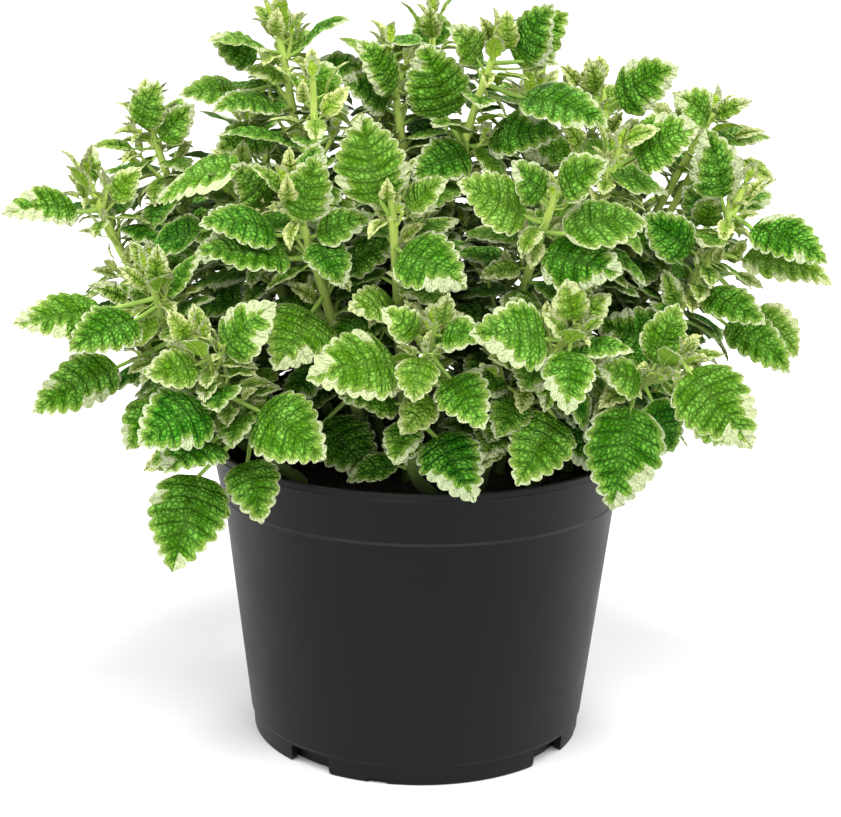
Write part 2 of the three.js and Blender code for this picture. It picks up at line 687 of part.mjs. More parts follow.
function isFree(leaf, leaves, stems) {
  if (leaf.samples.some(hitsPot) || leaf.stalk.some(hitsPot)) return false;
  if (leaves.some((other) => leavesTouch(leaf, other))) return false;
  return !stems.some((stem) => leafHitsStem(leaf, stem));
}

// ---------------------------------------------------------------- growth

const NUDGES = [0, -3, 3, -6, 6, -9, 9, -12]; // to and fro, in depth
const TURNS = [0, -15, 15, -30, 30]; // how far the blade is turned up, changed by

function listedLeaf(stem, [at, base, tip, face], leaves, stems) {
  // A leaf seen from the front, moved in depth or turned until it is clear.
  const { place } = onStem(stem, at);
  for (const turn of TURNS) {
    const facing = between(UP, FRONT, face + turn);
    for (const nudge of NUDGES) {
      const from = new THREE.Vector3(base[0], base[1] + nudge * 0.5, base[2]);
      const to = new THREE.Vector3(tip[0], tip[1] + nudge, tip[2]);
      const leaf = makeLeaf(stem, place, from, to, facing);
      if (isFree(leaf, leaves, stems)) return leaf;
    }
  }
  return null;
}

// Where a leaf by rule isn't clear, these changes are tried in turn: of its opening and its
// azimuth, its roll, and the share of its length that it keeps.
const TRIES = [
  [0, 0, 0, 1], [12, 0, 0, 1], [-12, 0, 0, 1], [0, 18, 0, 1], [0, -18, 0, 1],
  [0, 0, 22, 1], [0, 0, -22, 1],
  [14, 20, 0, 0.9], [14, -20, 0, 0.9], [-14, 20, 0, 0.9], [-14, -20, 0, 0.9],
  [0, 30, 20, 0.8], [0, -30, -20, 0.8], [20, 0, 25, 0.8], [-20, 0, -25, 0.8],
  [0, 14, 0, 0.68], [0, -14, 0, 0.68], [18, 0, 0, 0.6], [-18, 0, 0, 0.6],
];

function between(from, to, degrees) {
  // The direction that many degrees from one unit vector towards another square to it.
  const angle = radians(degrees);
  return from.clone().multiplyScalar(Math.cos(angle)).addScaledVector(to, Math.sin(angle));
}

function sideways(stem, along, azimuth) {
  // The direction square to a stem, at an azimuth about it in degrees.
  const zero = squared(stem.side, along);
  return between(zero, new THREE.Vector3().crossVectors(along, zero), azimuth);
}

function grownLeaf(stem, at, azimuth, open, length, leaves, stems) {
  // A leaf that opens from the stem at an azimuth about it, changed until it is clear.
  const { place, along } = onStem(stem, at);
  for (const [moreOpen, moreAzimuth, roll, share] of TRIES) {
    const outward = sideways(stem, along, azimuth + moreAzimuth);
    const size = length * share;
    const flare = size < YOUNG.below ? YOUNG.flare : STALK.flare;
    const stalk = between(along, outward, open + moreOpen + flare);
    const reach = between(along, outward, open + moreOpen);
    reach.z -= DROOP * Math.max(open - 30, 0);
    reach.normalize();
    const base = offset(place, stalk, Math.max(STALK.length * size, STALK.shortest));
    const tip = offset(base, reach, size);
    const facing = along.clone().multiplyScalar(0.8).addScaledVector(UP, 0.5);
    facing.applyAxisAngle(reach, radians(roll));
    const leaf = makeLeaf(stem, place, base, tip, facing);
    if (isFree(leaf, leaves, stems)) return leaf;
  }
  return null;
}

function hasRoom(stem, rank, azimuth) {
  // Low leaves don't open into the dark middle of the plant, and where the front leaves
  // are listed, only the sides away from them grow by rule.
  const { place, along } = onStem(stem, PAIRS[rank].at);
  const direction = sideways(stem, along, azimuth);
  const outwards = (direction.x * place.x + direction.y * place.y) / Math.hypot(place.x, place.y);
  if (rank > 2 && outwards < INWARD) return false;
  return !stem.leaves.length || rank < 2 || direction.y > BACKWARD;
}

function growPlant(stems) {
  const leaves = [];
  const keep = (leaf) => {
    if (leaf) leaves.push(leaf);
  };
  for (const stem of stems) {
    for (const row of stem.leaves) keep(listedLeaf(stem, row, leaves, stems));
  }
  for (const [rank, pair] of PAIRS.entries()) {
    for (const stem of stems) {
      const start = 45 + 90 * rank; // on the faces of the square stem
      for (const half of [0, 180]) {
        const azimuth = start + half + 24 * (random() - 0.5);
        const length = pair.length * (0.9 + 0.2 * random());
        const open = pair.open + 10 * (random() - 0.5);
        const shoot = random() < SHOOT.chance;
        if (pair.at > stem.fromTip[0] - LOWEST_PAIR || !hasRoom(stem, rank, azimuth)) continue;
        keep(grownLeaf(stem, pair.at, azimuth, open, length, leaves, stems));
        if (shoot && rank > 2 && rank < 6) {
          keep(grownLeaf(stem, pair.at - 1.5, azimuth + 12, SHOOT.open, SHOOT.length, leaves, stems));
        }
      }
    }
  }
  return leaves;
}

// ---------------------------------------------------------------- assembly

const stems = STEMS.map((row) => {
  const lean = Math.atan2(row.tip[1] - row.foot[1], row.tip[0] - row.foot[0]);
  const turn = lean + Math.PI * random();
  const side = new THREE.Vector3(-Math.sin(turn), Math.cos(turn), 0);
  const stem = { ...row, ...stemPath(row), side };
  return { ...stem, course: stemCourse(stem) };
});
const leaves = growPlant(stems);

const potPlastic = new THREE.MeshStandardMaterial({ color: 0x2b2b2d, roughness: 0.5, metalness: 0 });
const soilEarth = new THREE.MeshStandardMaterial({ color: 0x2a1d13, roughness: 1, metalness: 0 });
const foliage = new THREE.MeshStandardMaterial({ color: 0x4d9a36, roughness: 0.55, metalness: 0 });

const plant = new THREE.Group();

function addPiece(name, solid, material) {
  const mesh = new THREE.Mesh(geometryOf(solid), material);
  mesh.name = name;
  plant.add(mesh);
}

addPiece('pot', makePot(), potPlastic);
addPiece('potting_soil', makeSoil(stems), soilEarth);
for (const stem of stems) {
  const own = leaves.filter((leaf) => leaf.stem === stem);
  const fused = own.reduce((whole, leaf) => whole.add(leafSolid(leaf)), stemSolid(stem));
  addPiece(`leafy_stem_${stem.name}`, wholeBody(fused), foliage);
}

export default plant;
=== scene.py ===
# A potted mint plant: its pot, the potting soil, and thirty leafy stems whose leaves are
# green with cream edges. The plant is worked out in millimetres and built in metres.

import json
import math

import bpy
import numpy as np
from mathutils import Euler, Matrix, Vector, noise

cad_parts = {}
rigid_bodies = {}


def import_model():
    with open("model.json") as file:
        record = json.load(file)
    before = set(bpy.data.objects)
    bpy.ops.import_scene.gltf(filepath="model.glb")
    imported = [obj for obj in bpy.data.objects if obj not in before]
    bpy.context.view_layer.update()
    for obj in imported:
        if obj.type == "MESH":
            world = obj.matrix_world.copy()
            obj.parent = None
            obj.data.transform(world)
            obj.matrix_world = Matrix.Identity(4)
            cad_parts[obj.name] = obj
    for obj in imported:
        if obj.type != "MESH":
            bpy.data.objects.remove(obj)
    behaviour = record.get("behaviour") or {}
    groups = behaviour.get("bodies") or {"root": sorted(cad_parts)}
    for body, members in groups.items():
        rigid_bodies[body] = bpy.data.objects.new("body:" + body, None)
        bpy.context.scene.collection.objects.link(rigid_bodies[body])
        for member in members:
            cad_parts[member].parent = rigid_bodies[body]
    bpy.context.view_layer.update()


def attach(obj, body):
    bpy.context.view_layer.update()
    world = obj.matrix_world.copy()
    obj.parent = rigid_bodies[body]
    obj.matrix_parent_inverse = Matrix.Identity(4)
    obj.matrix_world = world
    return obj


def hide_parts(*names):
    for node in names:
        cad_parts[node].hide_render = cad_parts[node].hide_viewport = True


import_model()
bpy.ops.object.select_all(action="DESELECT")

MM = 0.001
GROWTH_SEED, FILL_SEED, BLADE_SEED, CRUMB_SEED = 4211, 977, 55, 31

# ---------------------------------------------------------------- the photograph's camera

FOCAL_PIXELS = 1854.0
PICTURE = (841, 817)
SENSOR = 36.0
EYE = (0.0, -641.0, 278.0)
PITCH = 14.04  # degrees down
ROLL = 0.89

# ---------------------------------------------------------------- sizes, in millimetres

POT_HEIGHT = 108.0
RIM_RADIUS = 75.0
BAND_TOP_RADIUS = 74.1
BAND_FOOT_RADIUS = 71.0
BAND_FOOT = 89.5
BODY_TOP_RADIUS = 70.2
BODY_FOOT_RADIUS = 60.6
BODY_FOOT = 7.8
FOOT_RADIUS = 59.4
FOOT_WIDTH = 2.4
WALL = 1.4
BAND_WALL = 2.0
FLOOR_UNDER = 5.0
FLOOR_TOP = 7.0
LIP_HEIGHT = 2.8
POT_SIDES = 180
INNERMOST, CORNER_STEPS = 20.0, 4  # where the pot's profile starts, and the points round its corners

NOTCH_TOP, NOTCH_WIDTH, NOTCH_INNER, NOTCH_COUNT, FIRST_NOTCH = 6.4, 16.8, 56.2, 4, -38.0
SLOT_HEIGHT, SLOT_WIDTH, SLOT_INNER, SLOT_FROM_NOTCH = 1.5, 6.6, 57.7, 25.5
RING_INNER, RING_OUTER, RING_FOOT = 52.6, 55.4, 0.4  # the stiffening ring under the pot
DRAIN_RADIUS, DRAIN_RING, DRAIN_COUNT = 4.0, 44.0, 6
CUTTER_DEPTH = 12.0

SOIL_TOP = 98.0
SOIL_GAP = 0.3
CRUMB_COUNT, CRUMB_REACH = 620, 70.0

STEM_FOOT_RADIUS, STEM_TIP_RADIUS, STEM_DEPTH, STEM_STEPS, STEM_ABOVE = 2.4, 1.3, 22.0, 6, 3.0

BLADE_WIDTH, BLADE_ARCH, BLADE_CUP, BLADE_TOOTH, BLADE_NOTCH = 0.75, 0.07, 0.04, 1.07, 0.9
SOLID_BLUNTNESS, SOLID_WIDEST = 0.8, 0.4206
STALK_LENGTH, STALK_SHORTEST, STALK_FLARE = 0.3, 2.6, -16.0
YOUNG_BELOW, YOUNG_WIDTH, YOUNG_CUP, YOUNG_FLARE = 15.0, 0.56, 0.2, 30.0

# Room kept around a blade, between stalks, and from the pot.
CLEAR = {"across": 0.9, "above": 1.7, "stalks": 2.4, "stalk_to_blade": 0.4, "pot": 1.6}

# Pairs of leaves down a stem: distance from the tip, blade length, and how far they open.
PAIRS = [(1.5, 9, 15), (7, 14, 32), (16, 21, 48), (29, 27, 62), (44, 30, 72), (60, 30, 80), (77, 27, 84)]
SHOOT_LENGTH, SHOOT_OPEN, SHOOT_CHANCE = 9.0, 28.0, 0.25
LOWEST_PAIR, INWARD, BACKWARD, DROOP = 16.0, -0.3, -0.2, 0.012
NUDGES = [0, -3, 3, -6, 6, -9, 9, -12]
TURNS = [0, -15, 15, -30, 30]
TRIES = [
    (0, 0, 0, 1), (12, 0, 0, 1), (-12, 0, 0, 1), (0, 18, 0, 1), (0, -18, 0, 1),
    (0, 0, 22, 1), (0, 0, -22, 1),
    (14, 20, 0, 0.9), (14, -20, 0, 0.9), (-14, 20, 0, 0.9), (-14, -20, 0, 0.9),
    (0, 30, 20, 0.8), (0, -30, -20, 0.8), (20, 0, 25, 0.8), (-20, 0, -25, 0.8),
    (0, 14, 0, 0.68), (0, -14, 0, 0.68), (18, 0, 0, 0.6), (-18, 0, 0, 0.6),
]

# ---------------------------------------------------------------- the stems

# name: foot (x, y), bend, tip, and the leaves that show from the front, each as its
# distance from the tip, where its blade begins and ends, and how far it is turned up.
STEMS = {
    "front_left": ((-40, -36), (-52, -60, 112), (-69, -84, 160), [
        (23, (-66, -84, 138), (-84, -106, 132), 70), (25, (-51, -78, 136), (-29, -97, 126), 70),
        (10, (-61, -82, 155), (-45, -87, 172), 55), (9, (-69, -86, 152), (-83, -98, 151), 60),
        (5, (-72, -84, 159), (-77, -90, 170), 70), (45, (-55, -73, 118), (-49, -90, 103), 65),
        (41, (-71, -69, 112), (-77, -90, 86), 60), (36, (-66, -76, 125), (-77, -101, 123), 45),
        (28, (-56, -77, 139), (-51, -79, 143), 50),
    ]),
    "left": ((-50, -16), (-81, -35, 121), (-88, -52, 175), [
        (10, (-103, -51, 162), (-129, -69, 160), 45), (13, (-92, -51, 160), (-110, -66, 154), 50),
        (27, (-100, -45, 142), (-126, -59, 130), 50), (9, (-86, -52, 170), (-85, -53, 184), 80),
        (7, (-89, -52, 170), (-97, -57, 177), 45), (19, (-85, -51, 157), (-97, -44, 149), 40),
    ]),
    "far_left": ((-44, 2), (-93, -3, 135), (-116, -8, 201), [
        (14, (-118, -11, 188), (-140, -27, 190), 50), (16, (-106, -9, 191), (-97, -6, 203), 55),
        (11, (-116, -9, 192), (-116, -9, 204), 80), (36, (-106, -7, 165), (-114, -12, 168), 45),
        (36, (-102, -7, 170), (-101, -8, 177), 50),
    ]),
    "upper_left": ((-36, 22), (-79, 20, 149), (-99, 18, 221), [
        (9, (-99, 14, 214), (-93, 11, 231), 70), (15, (-103, 16, 207), (-117, 11, 208), 30),
        (13, (-93, 14, 210), (-81, 12, 223), 60), (9, (-101, 16, 212), (-109, 13, 213), 20),
        (13, (-101, 16, 205), (-106, 9, 202), 45),
    ]),
    "mid_left": ((-26, -8), (-44, -19, 153), (-63, -30, 205), [
        (19, (-51, -28, 195), (-62, -41, 208), 70), (4, (-60, -39, 208), (-89, -34, 195), 40),
        (16, (-74, -29, 185), (-94, -18, 176), 40), (44, (-61, -23, 160), (-78, -9, 153), 40),
    ]),
    "front_mid_left": ((-16, -26), (-27, -46, 154), (-42, -66, 206), [
        (20, (-46, -61, 189), (-69, -73, 194), 35), (28, (-42, -63, 182), (-70, -76, 186), 30),
        (16, (-38, -67, 194), (-33, -69, 215), 75), (7, (-42, -66, 200), (-42, -71, 209), 80),
        (20, (-34, -63, 189), (-16, -64, 196), 40), (37, (-25, -55, 177), (-6, -64, 187), 40),
        (42, (-35, -58, 164), (-45, -84, 151), 75), (45, (-34, -52, 166), (-43, -55, 172), 50),
        (82, (-33, -40, 123), (-16, -56, 108), 50),
    ]),
    "top_left": ((-17, 10), (-39, 7, 179), (-51, 4, 252), [
        (11, (-54, 0, 243), (-73, -10, 246), 15), (13, (-43, 3, 243), (-26, -3, 254), 20),
        (6, (-51, 1, 247), (-50, -4, 257), 80), (8, (-46, 2, 247), (-42, 1, 256), 10),
        (21, (-48, 1, 233), (-62, -4, 236), 30), (30, (-49, -2, 223), (-71, -15, 224), 25),
        (36, (-52, 3, 214), (-71, -9, 209), 45), (21, (-40, 3, 234), (-20, 1, 239), 45),
    ]),
    "top_left_front": ((-10, -8), (-37, -17, 170), (-37, -26, 235), [
        (15, (-34, -26, 223), (-25, -28, 233), 60), (10, (-40, -27, 227), (-40, -31, 235), 70),
    ]),
    "top_mid_left": ((-4, 14), (1, 6, 170), (-13, -2, 245), [
        (19, (-11, -6, 229), (-23, -10, 247), 35), (25, (-13, -2, 224), (-28, -11, 234), 50),
        (4, (-2, -4, 246), (-18, 1, 246), 15),
    ]),
    "top_back": ((4, 26), (3, 25, 178), (2, 24, 254), [
        (12, (2, 22, 246), (1, 17, 258), 80),
    ]),
    "top_mid": ((8, 2), (-3, -9, 177), (24, -20, 248), [
        (4, (27, -21, 245), (26, -27, 258), 80), (8, (32, -21, 241), (40, -31, 260), 45),
        (10, (31, -21, 239), (44, -30, 241), 25), (38, (7, -16, 222), (-1, -28, 247), 80),
        (12, (17, -20, 242), (9, -29, 253), 65), (38, (21, -16, 214), (45, -25, 219), 45),
        (35, (15, -20, 211), (-4, -30, 204), 60), (15, (32, -20, 230), (60, -31, 221), 30),
    ]),
    "front_mid": ((-4, -26), (-7, -50, 152), (-10, -74, 206), [
        (12, (-13, -75, 201), (-19, -83, 229), 80), (22, (-7, -72, 186), (13, -88, 178), 65),
        (9, (-6, -72, 200), (7, -76, 209), 45), (21, (-7, -65, 188), (0, -66, 194), 50),
        (45, (-8, -62, 167), (-23, -78, 168), 50), (6, (-11, -73, 202), (-11, -78, 209), 80),
    ]),
    "front_centre": ((4, -48), (-10, -68, 111), (4, -86, 165), [
        (6, (-1, -85, 162), (-12, -90, 171), 70), (3, (6, -89, 163), (19, -99, 165), 60),
        (1, (6, -88, 166), (8, -94, 177), 65), (9, (0, -88, 156), (-2, -103, 146), 70),
        (9, (9, -85, 149), (19, -102, 138), 65), (22, (3, -81, 142), (-6, -90, 132), 65),
        (29, (-8, -79, 139), (-25, -95, 144), 45), (34, (5, -76, 128), (17, -95, 113), 55),
        (13, (-7, -85, 152), (-34, -102, 152), 55),
    ]),
    "upper_right_mid": ((18, -18), (27, -44, 154), (41, -70, 205), [
        (6, (37, -71, 203), (27, -79, 215), 60), (3, (42, -73, 205), (55, -83, 216), 60),
        (3, (42, -74, 203), (58, -83, 207), 45), (13, (32, -69, 197), (11, -80, 209), 55),
        (22, (38, -68, 186), (61, -84, 182), 60), (30, (31, -59, 179), (18, -65, 177), 55),
        (36, (27, -56, 177), (26, -60, 185), 60), (16, (43, -69, 193), (70, -56, 197), 35),
    ]),
    "front_right_mid": ((20, -42), (25, -64, 135), (48, -86, 166), [
        (7, (44, -86, 163), (36, -92, 171), 60), (2, (46, -87, 168), (43, -93, 182), 65),
        (4, (45, -89, 159), (44, -104, 143), 85), (7, (38, -87, 163), (15, -99, 168), 65),
        (29, (43, -74, 134), (30, -90, 116), 75),
    ]),
    "front_right": ((38, -36), (52, -58, 129), (81, -80, 155), [
        (21, (66, -78, 139), (60, -91, 109), 75), (1, (82, -88, 153), (99, -108, 135), 60),
        (6, (84, -79, 144), (100, -70, 126), 50), (17, (73, -74, 140), (81, -70, 122), 60),
        (19, (69, -76, 145), (54, -83, 153), 50),
    ]),
    "right": ((52, -10), (86, -11, 142), (109, -12, 201), [
        (14, (101, -14, 196), (94, -17, 220), 75), (11, (111, -17, 187), (134, -33, 178), 55),
        (25, (109, -14, 176), (138, -26, 171), 35), (30, (92, -14, 178), (74, -18, 191), 70),
        (39, (96, -18, 164), (115, -32, 157), 40), (42, (105, -13, 153), (127, -21, 138), 50),
        (30, (115, -14, 157), (133, -10, 139), 35), (51, (87, -15, 158), (82, -16, 172), 60),
        (61, (84, -19, 146), (59, -27, 155), 75), (30, (100, -14, 174), (102, -16, 181), 60),
        (6, (110, -14, 197), (115, -17, 204), 50),
    ]),
    "far_right_up": ((36, 10), (68, 9, 162), (100, 8, 223), [
        (3, (96, 5, 221), (85, 7, 230), 50), (3, (100, 5, 222), (112, -1, 228), 55),
        (2, (107, 6, 215), (117, 1, 218), 40), (9, (85, 6, 221), (78, 13, 225), 40),
    ]),
    "top_right": ((24, 8), (81, 5, 160), (60, 2, 233), [
        (8, (57, 0, 228), (55, -3, 242), 60), (9, (65, -3, 227), (84, -12, 240), 65),
        (1, (52, 0, 232), (46, -2, 239), 60),
    ]),
    "right_mid": ((28, -12), (48, -27, 160), (63, -42, 216), [
        (1, (64, -45, 218), (74, -52, 223), 55), (8, (67, -43, 213), (86, -57, 224), 60),
        (11, (60, -45, 207), (78, -38, 202), 35),
    ]),
    "mid_right_back": ((44, 8), (68, 7, 152), (93, 6, 202), [
        (24, (98, 5, 185), (89, -4, 199), 65),
    ]),
    "back_left": ((-24, 26), (-46, 42, 150), (-64, 50, 220), []),
    "back_left_low": ((-40, 34), (-74, 46, 122), (-92, 50, 182), []),
    "back_mid": ((-8, 36), (-14, 54, 158), (-18, 64, 230), []),
    "back_mid_low": ((-20, 50), (-34, 72, 122), (-44, 79, 178), []),
    "back_right": ((22, 34), (34, 52, 156), (42, 58, 228), []),
    "back_right_low": ((36, 40), (64, 58, 124), (82, 64, 186), []),
    "back_low": ((12, 54), (16, 76, 120), (20, 84, 172), []),
    "far_right_low": ((52, 16), (84, 28, 124), (102, 34, 168), []),
    "far_left_low": ((-54, 16), (-80, 26, 118), (-96, 32, 160), []),
}

# More leaves that show from the front between those, given the same way.
MORE_LEAVES = {
    "top_mid": [
        (8, (30, -8, 240), (47, -14, 257), 60), (3, (21, -10, 247), (18, -16, 255), 60),
        (134, (5, -2, 115), (-6, -15, 125), 62), (134, (4, -3, 116), (-5, -14, 124), 62),
        (134, (3, -4, 117), (-4, -13, 123), 62),
    ],
    "top_right": [
        (0, (50, 5, 231), (49, -1, 239), 60), (22, (54, -5, 210), (46, -11, 221), 60),
        (22, (52, 5, 210), (34, -1, 208), 50), (15, (63, -10, 218), (66, -16, 225), 60),
        (3, (58, 0, 230), (55, -6, 241), 70),
    ],
    "far_right_up": [
        (9, (85, 0, 220), (76, -6, 226), 50), (2, (100, 10, 221), (111, 4, 228), 70),
        (5, (98, 12, 220), (85, 6, 230), 70),
    ],
    "right": [
        (19, (97, -5, 185), (99, -11, 199), 60), (13, (107, -12, 188), (113, -18, 192), 50),
        (27, (105, -10, 174), (110, -16, 183), 60), (0, (108, -15, 209), (119, -21, 202), 50),
        (29, (108, -10, 169), (118, -16, 165), 50),
    ],
    "left": [
        (16, (-98, -35, 162), (-110, -41, 168), 50), (28, (-88, -50, 144), (-95, -56, 142), 50),
        (38, (-88, -50, 132), (-96, -56, 116), 60),
    ],
    "front_left": [
        (43, (-77, -60, 117), (-89, -66, 112), 60),
    ],
    "top_left": [
        (20, (-64, 0, 228), (-84, -6, 227), 35), (12, (-58, 6, 239), (-73, 0, 247), 60),
    ],
    "top_mid_left": [
        (134, (-5, 14, 109), (6, 5, 123), 62), (134, (-4, 13, 111), (5, 6, 121), 62),
        (134, (-4, 13, 111), (4, 7, 120), 62),
    ],
    "top_back": [
        (141, (9, 26, 112), (-11, 26, 110), 62), (141, (6, 26, 112), (-7, 26, 111), 62),
    ],
    "back_mid": [
        (121, (-9, 40, 109), (10, 45, 106), 62), (121, (-6, 40, 108), (7, 44, 106), 62),
        (121, (-5, 41, 108), (6, 44, 106), 62),
    ],
}

# The plant's outline from the front, across and up, at the depth of the pot's middle.
FRONT_OUTLINE = [
    (-146, 188), (-135, 194), (-123, 194), (-122, 202), (-116, 204), (-115, 210), (-103, 216), (-99, 228),
    (-91, 232), (-91, 223), (-86, 224), (-83, 231), (-75, 232), (-74, 248), (-69, 250), (-57, 246),
    (-56, 254), (-51, 258), (-47, 254), (-41, 257), (-27, 257), (-25, 242), (-22, 248), (-4, 248),
    (-4, 256), (0, 259), (5, 257), (6, 256), (16, 253), (40, 260), (49, 256), (50, 239),
    (56, 242), (62, 232), (69, 239), (78, 242), (86, 239), (87, 232), (96, 228), (102, 231),
    (111, 229), (113, 220), (117, 218), (118, 204), (123, 198), (124, 190), (137, 183), (145, 168),
    (120, 161), (121, 154), (134, 144), (136, 137), (132, 137), (131, 133), (110, 132), (119, 121),
    (119, 107), (92, 105), (89, 103), (87, 91), (77, 89), (75, 77), (-65, 75), (-99, 82),
    (-100, 100), (-106, 102), (-104, 114), (-140, 116), (-135, 126), (-122, 135), (-100, 136), (-121, 139),
    (-123, 143), (-145, 146), (-134, 157), (-126, 161), (-114, 162), (-116, 167), (-110, 168), (-110, 175),
    (-116, 177), (-118, 183), (-146, 186),
]


# ---------------------------------------------------------------- growth, as on the solids

MOST_LEAVES = 5000
UP = np.array((0.0, 0.0, 1.0))
FRONT = np.array((0.0, -1.0, 0.0))


class Dice:
    """Repeatable random numbers from 0 to 1."""

    def __init__(self, seed):
        self.seed = seed

    def __call__(self):
        self.seed = (1664525 * self.seed + 1013904223) % 4294967296
        return self.seed / 4294967296

    def between(self, low, high):
        return low + (high - low) * self()


def unit(vector):
    return vector / math.sqrt(vector @ vector)


def squared(vector, against):
    """The part of a direction that is square to another, as a unit vector."""
    return unit(vector - against * (vector @ against))


def between(start, towards, degrees):
    """The direction that many degrees from one unit vector towards another square to it."""
    angle = math.radians(degrees)
    return start * math.cos(angle) + towards * math.sin(angle)


def turned(vector, axis, degrees):
    angle = math.radians(degrees)
    across = np.cross(axis, vector)
    kept = axis * (axis @ vector) * (1 - math.cos(angle))
    return vector * math.cos(angle) + across * math.sin(angle) + kept


def mixed(low, high, share):
    return low + (high - low) * share


def outer_radius(z):
    z = np.asarray(z, float)
    body = mixed(BODY_FOOT_RADIUS, BODY_TOP_RADIUS, (z - BODY_FOOT) / (BAND_FOOT - BODY_FOOT))
    band = mixed(BAND_FOOT_RADIUS, BAND_TOP_RADIUS, (z - BAND_FOOT) / (POT_HEIGHT - LIP_HEIGHT - BAND_FOOT))
    return np.where(z < BAND_FOOT, body, band)


def inner_radius(z):
    return outer_radius(z) - np.where(np.asarray(z) < BAND_FOOT, WALL, BAND_WALL)


def fullness(share):
    """Half-width of a blade as a share of its widest, from stalk (0) to tip (1)."""
    s = np.clip(share, 0.015, 1)
    return np.sqrt(s) * (1 - s) ** SOLID_BLUNTNESS / SOLID_WIDEST


class Stem:
    def __init__(self, name, points, side, radii, listed=()):
        self.name = name
        self.points = points
        self.side = side
        self.radii = radii  # at the tip and at the foot
        self.listed = listed
        steps = np.linalg.norm(np.diff(points, axis=0), axis=1)
        self.from_tip = np.append(np.cumsum(steps[::-1])[::-1], 0.0)
        self.length = self.from_tip[0]
        self.children = []
        self.leaves = []
        places = np.arange(0, self.length + 1e-9, 3.0)
        self.course = np.array([self.at(d)[0] for d in places])
        self.course_radius = self.radius(places)

    def at(self, distance):
        """The place and the direction at a distance from the tip."""
        i = len(self.points) - 2
        while i > 0 and self.from_tip[i] < distance:
            i -= 1
        share = (self.from_tip[i] - distance) / (self.from_tip[i] - self.from_tip[i + 1])
        place = mixed(self.points[i], self.points[i + 1], min(max(share, 0.0), 1.0))
        return place, unit(self.points[i + 1] - self.points[i])

    def radius(self, distance):
        return mixed(self.radii[0], self.radii[1], np.minimum(distance / self.length, 1))


class Leaf:
    """A blade from base to tip whose upper face is turned along `facing`, and its stalk."""

    shown = False  # read from the photograph
    filler = False  # added to fill the plant

    def __init__(self, stem, root, base, tip, facing):
        self.stem, self.root, self.base, self.tip = stem, root, base, tip
        along = tip - base
        self.length = math.sqrt(along @ along)
        self.along = along / self.length
        self.normal = squared(facing, self.along)
        self.across = np.cross(self.normal, self.along)
        self.young = self.length < YOUNG_BELOW
        self.half_width = (YOUNG_WIDTH if self.young else BLADE_WIDTH) * self.length / 2
        self.cup = YOUNG_CUP if self.young else BLADE_CUP
        self.centre = (base + tip) / 2
        self.reach = self.length * 0.56 + 3
        self.samples = self.blade_samples()
        stalk = root - base
        gap = math.sqrt(stalk @ stalk)
        steps = np.arange(2.5, gap + 1e-9, 2.0)[:, None] / gap
        self.stalk = mixed(root, base, steps)

    def outline(self):
        if self.young:
            return [(0.38, 1.0)]
        count = 5 if self.length > 22.5 else 3
        shares = [0.13 + 0.76 * i / (count - 1) for i in range(count)]
        teeth = [BLADE_NOTCH if i % 2 else BLADE_TOOTH for i in range(count)]
        return [(share, float(fullness(share)) * tooth) for share, tooth in zip(shares, teeth)]

    def rise(self, share, out):
        arch = BLADE_ARCH * self.length * 4 * share * (1 - share)
        return arch + self.cup * self.half_width * np.abs(out)

    def blade_samples(self):
        rows = max(2, int(math.floor(self.length / 4 + 0.5)))
        spots = [(s, side * out) for s, out in self.outline() for side in (1, -1)]
        for i in range(1, rows):
            spots += [(i / rows, out * float(fullness(i / rows))) for out in (-0.55, 0.0, 0.55)]
        share, out = np.array(spots).T
        points = self.base + np.outer(share * self.length, self.along)
        points = points + np.outer(out * self.half_width, self.across)
        points = points + np.outer(self.rise(share, out), self.normal)
        return np.vstack([self.tip, points])


def near_blade(points, leaf, extra):
    """Whether any of the points is within the room that a blade keeps."""
    if not len(points):
        return False
    away = points - leaf.base
    share = away @ leaf.along / leaf.length
    out = away @ leaf.across
    slack = (CLEAR["across"] + extra) / leaf.length
    edge = leaf.half_width * fullness(share) * BLADE_TOOTH + CLEAR["across"] + extra
    height = away @ leaf.normal - leaf.rise(np.clip(share, 0, 1), out / leaf.half_width)
    near = (share >= -slack) & (share <= 1 + slack) & (np.abs(out) <= edge)
    return bool((near & (np.abs(height) < CLEAR["above"] + extra)).any())


def leaves_touch(a, b):
    same = a.stem is b.stem
    small = min(a.length, b.length) < YOUNG_BELOW
    extra = -CLEAR["across"] if same and small else 0.0
    if near_blade(a.samples, b, extra) or near_blade(b.samples, a, extra):
        return True
    if same and small:
        return False
    if near_blade(a.stalk, b, CLEAR["stalk_to_blade"]) or near_blade(b.stalk, a, CLEAR["stalk_to_blade"]):
        return True
    if same or not len(a.stalk) or not len(b.stalk):
        return False
    gaps = np.linalg.norm(a.stalk[:, None] - b.stalk[None], axis=2)
    return bool((gaps < CLEAR["stalks"]).any())


def hits_pot(points):
    radius = np.hypot(points[:, 0], points[:, 1])
    z = points[:, 2]
    inside = radius < inner_radius(np.minimum(z, POT_HEIGHT)) - CLEAR["pot"]
    low = z < SOIL_TOP + STEM_ABOVE + CLEAR["pot"]
    wall = (z < POT_HEIGHT + CLEAR["pot"]) & (radius < outer_radius(z) + CLEAR["pot"] + 0.4)
    return bool(np.where(inside, low, wall).any())


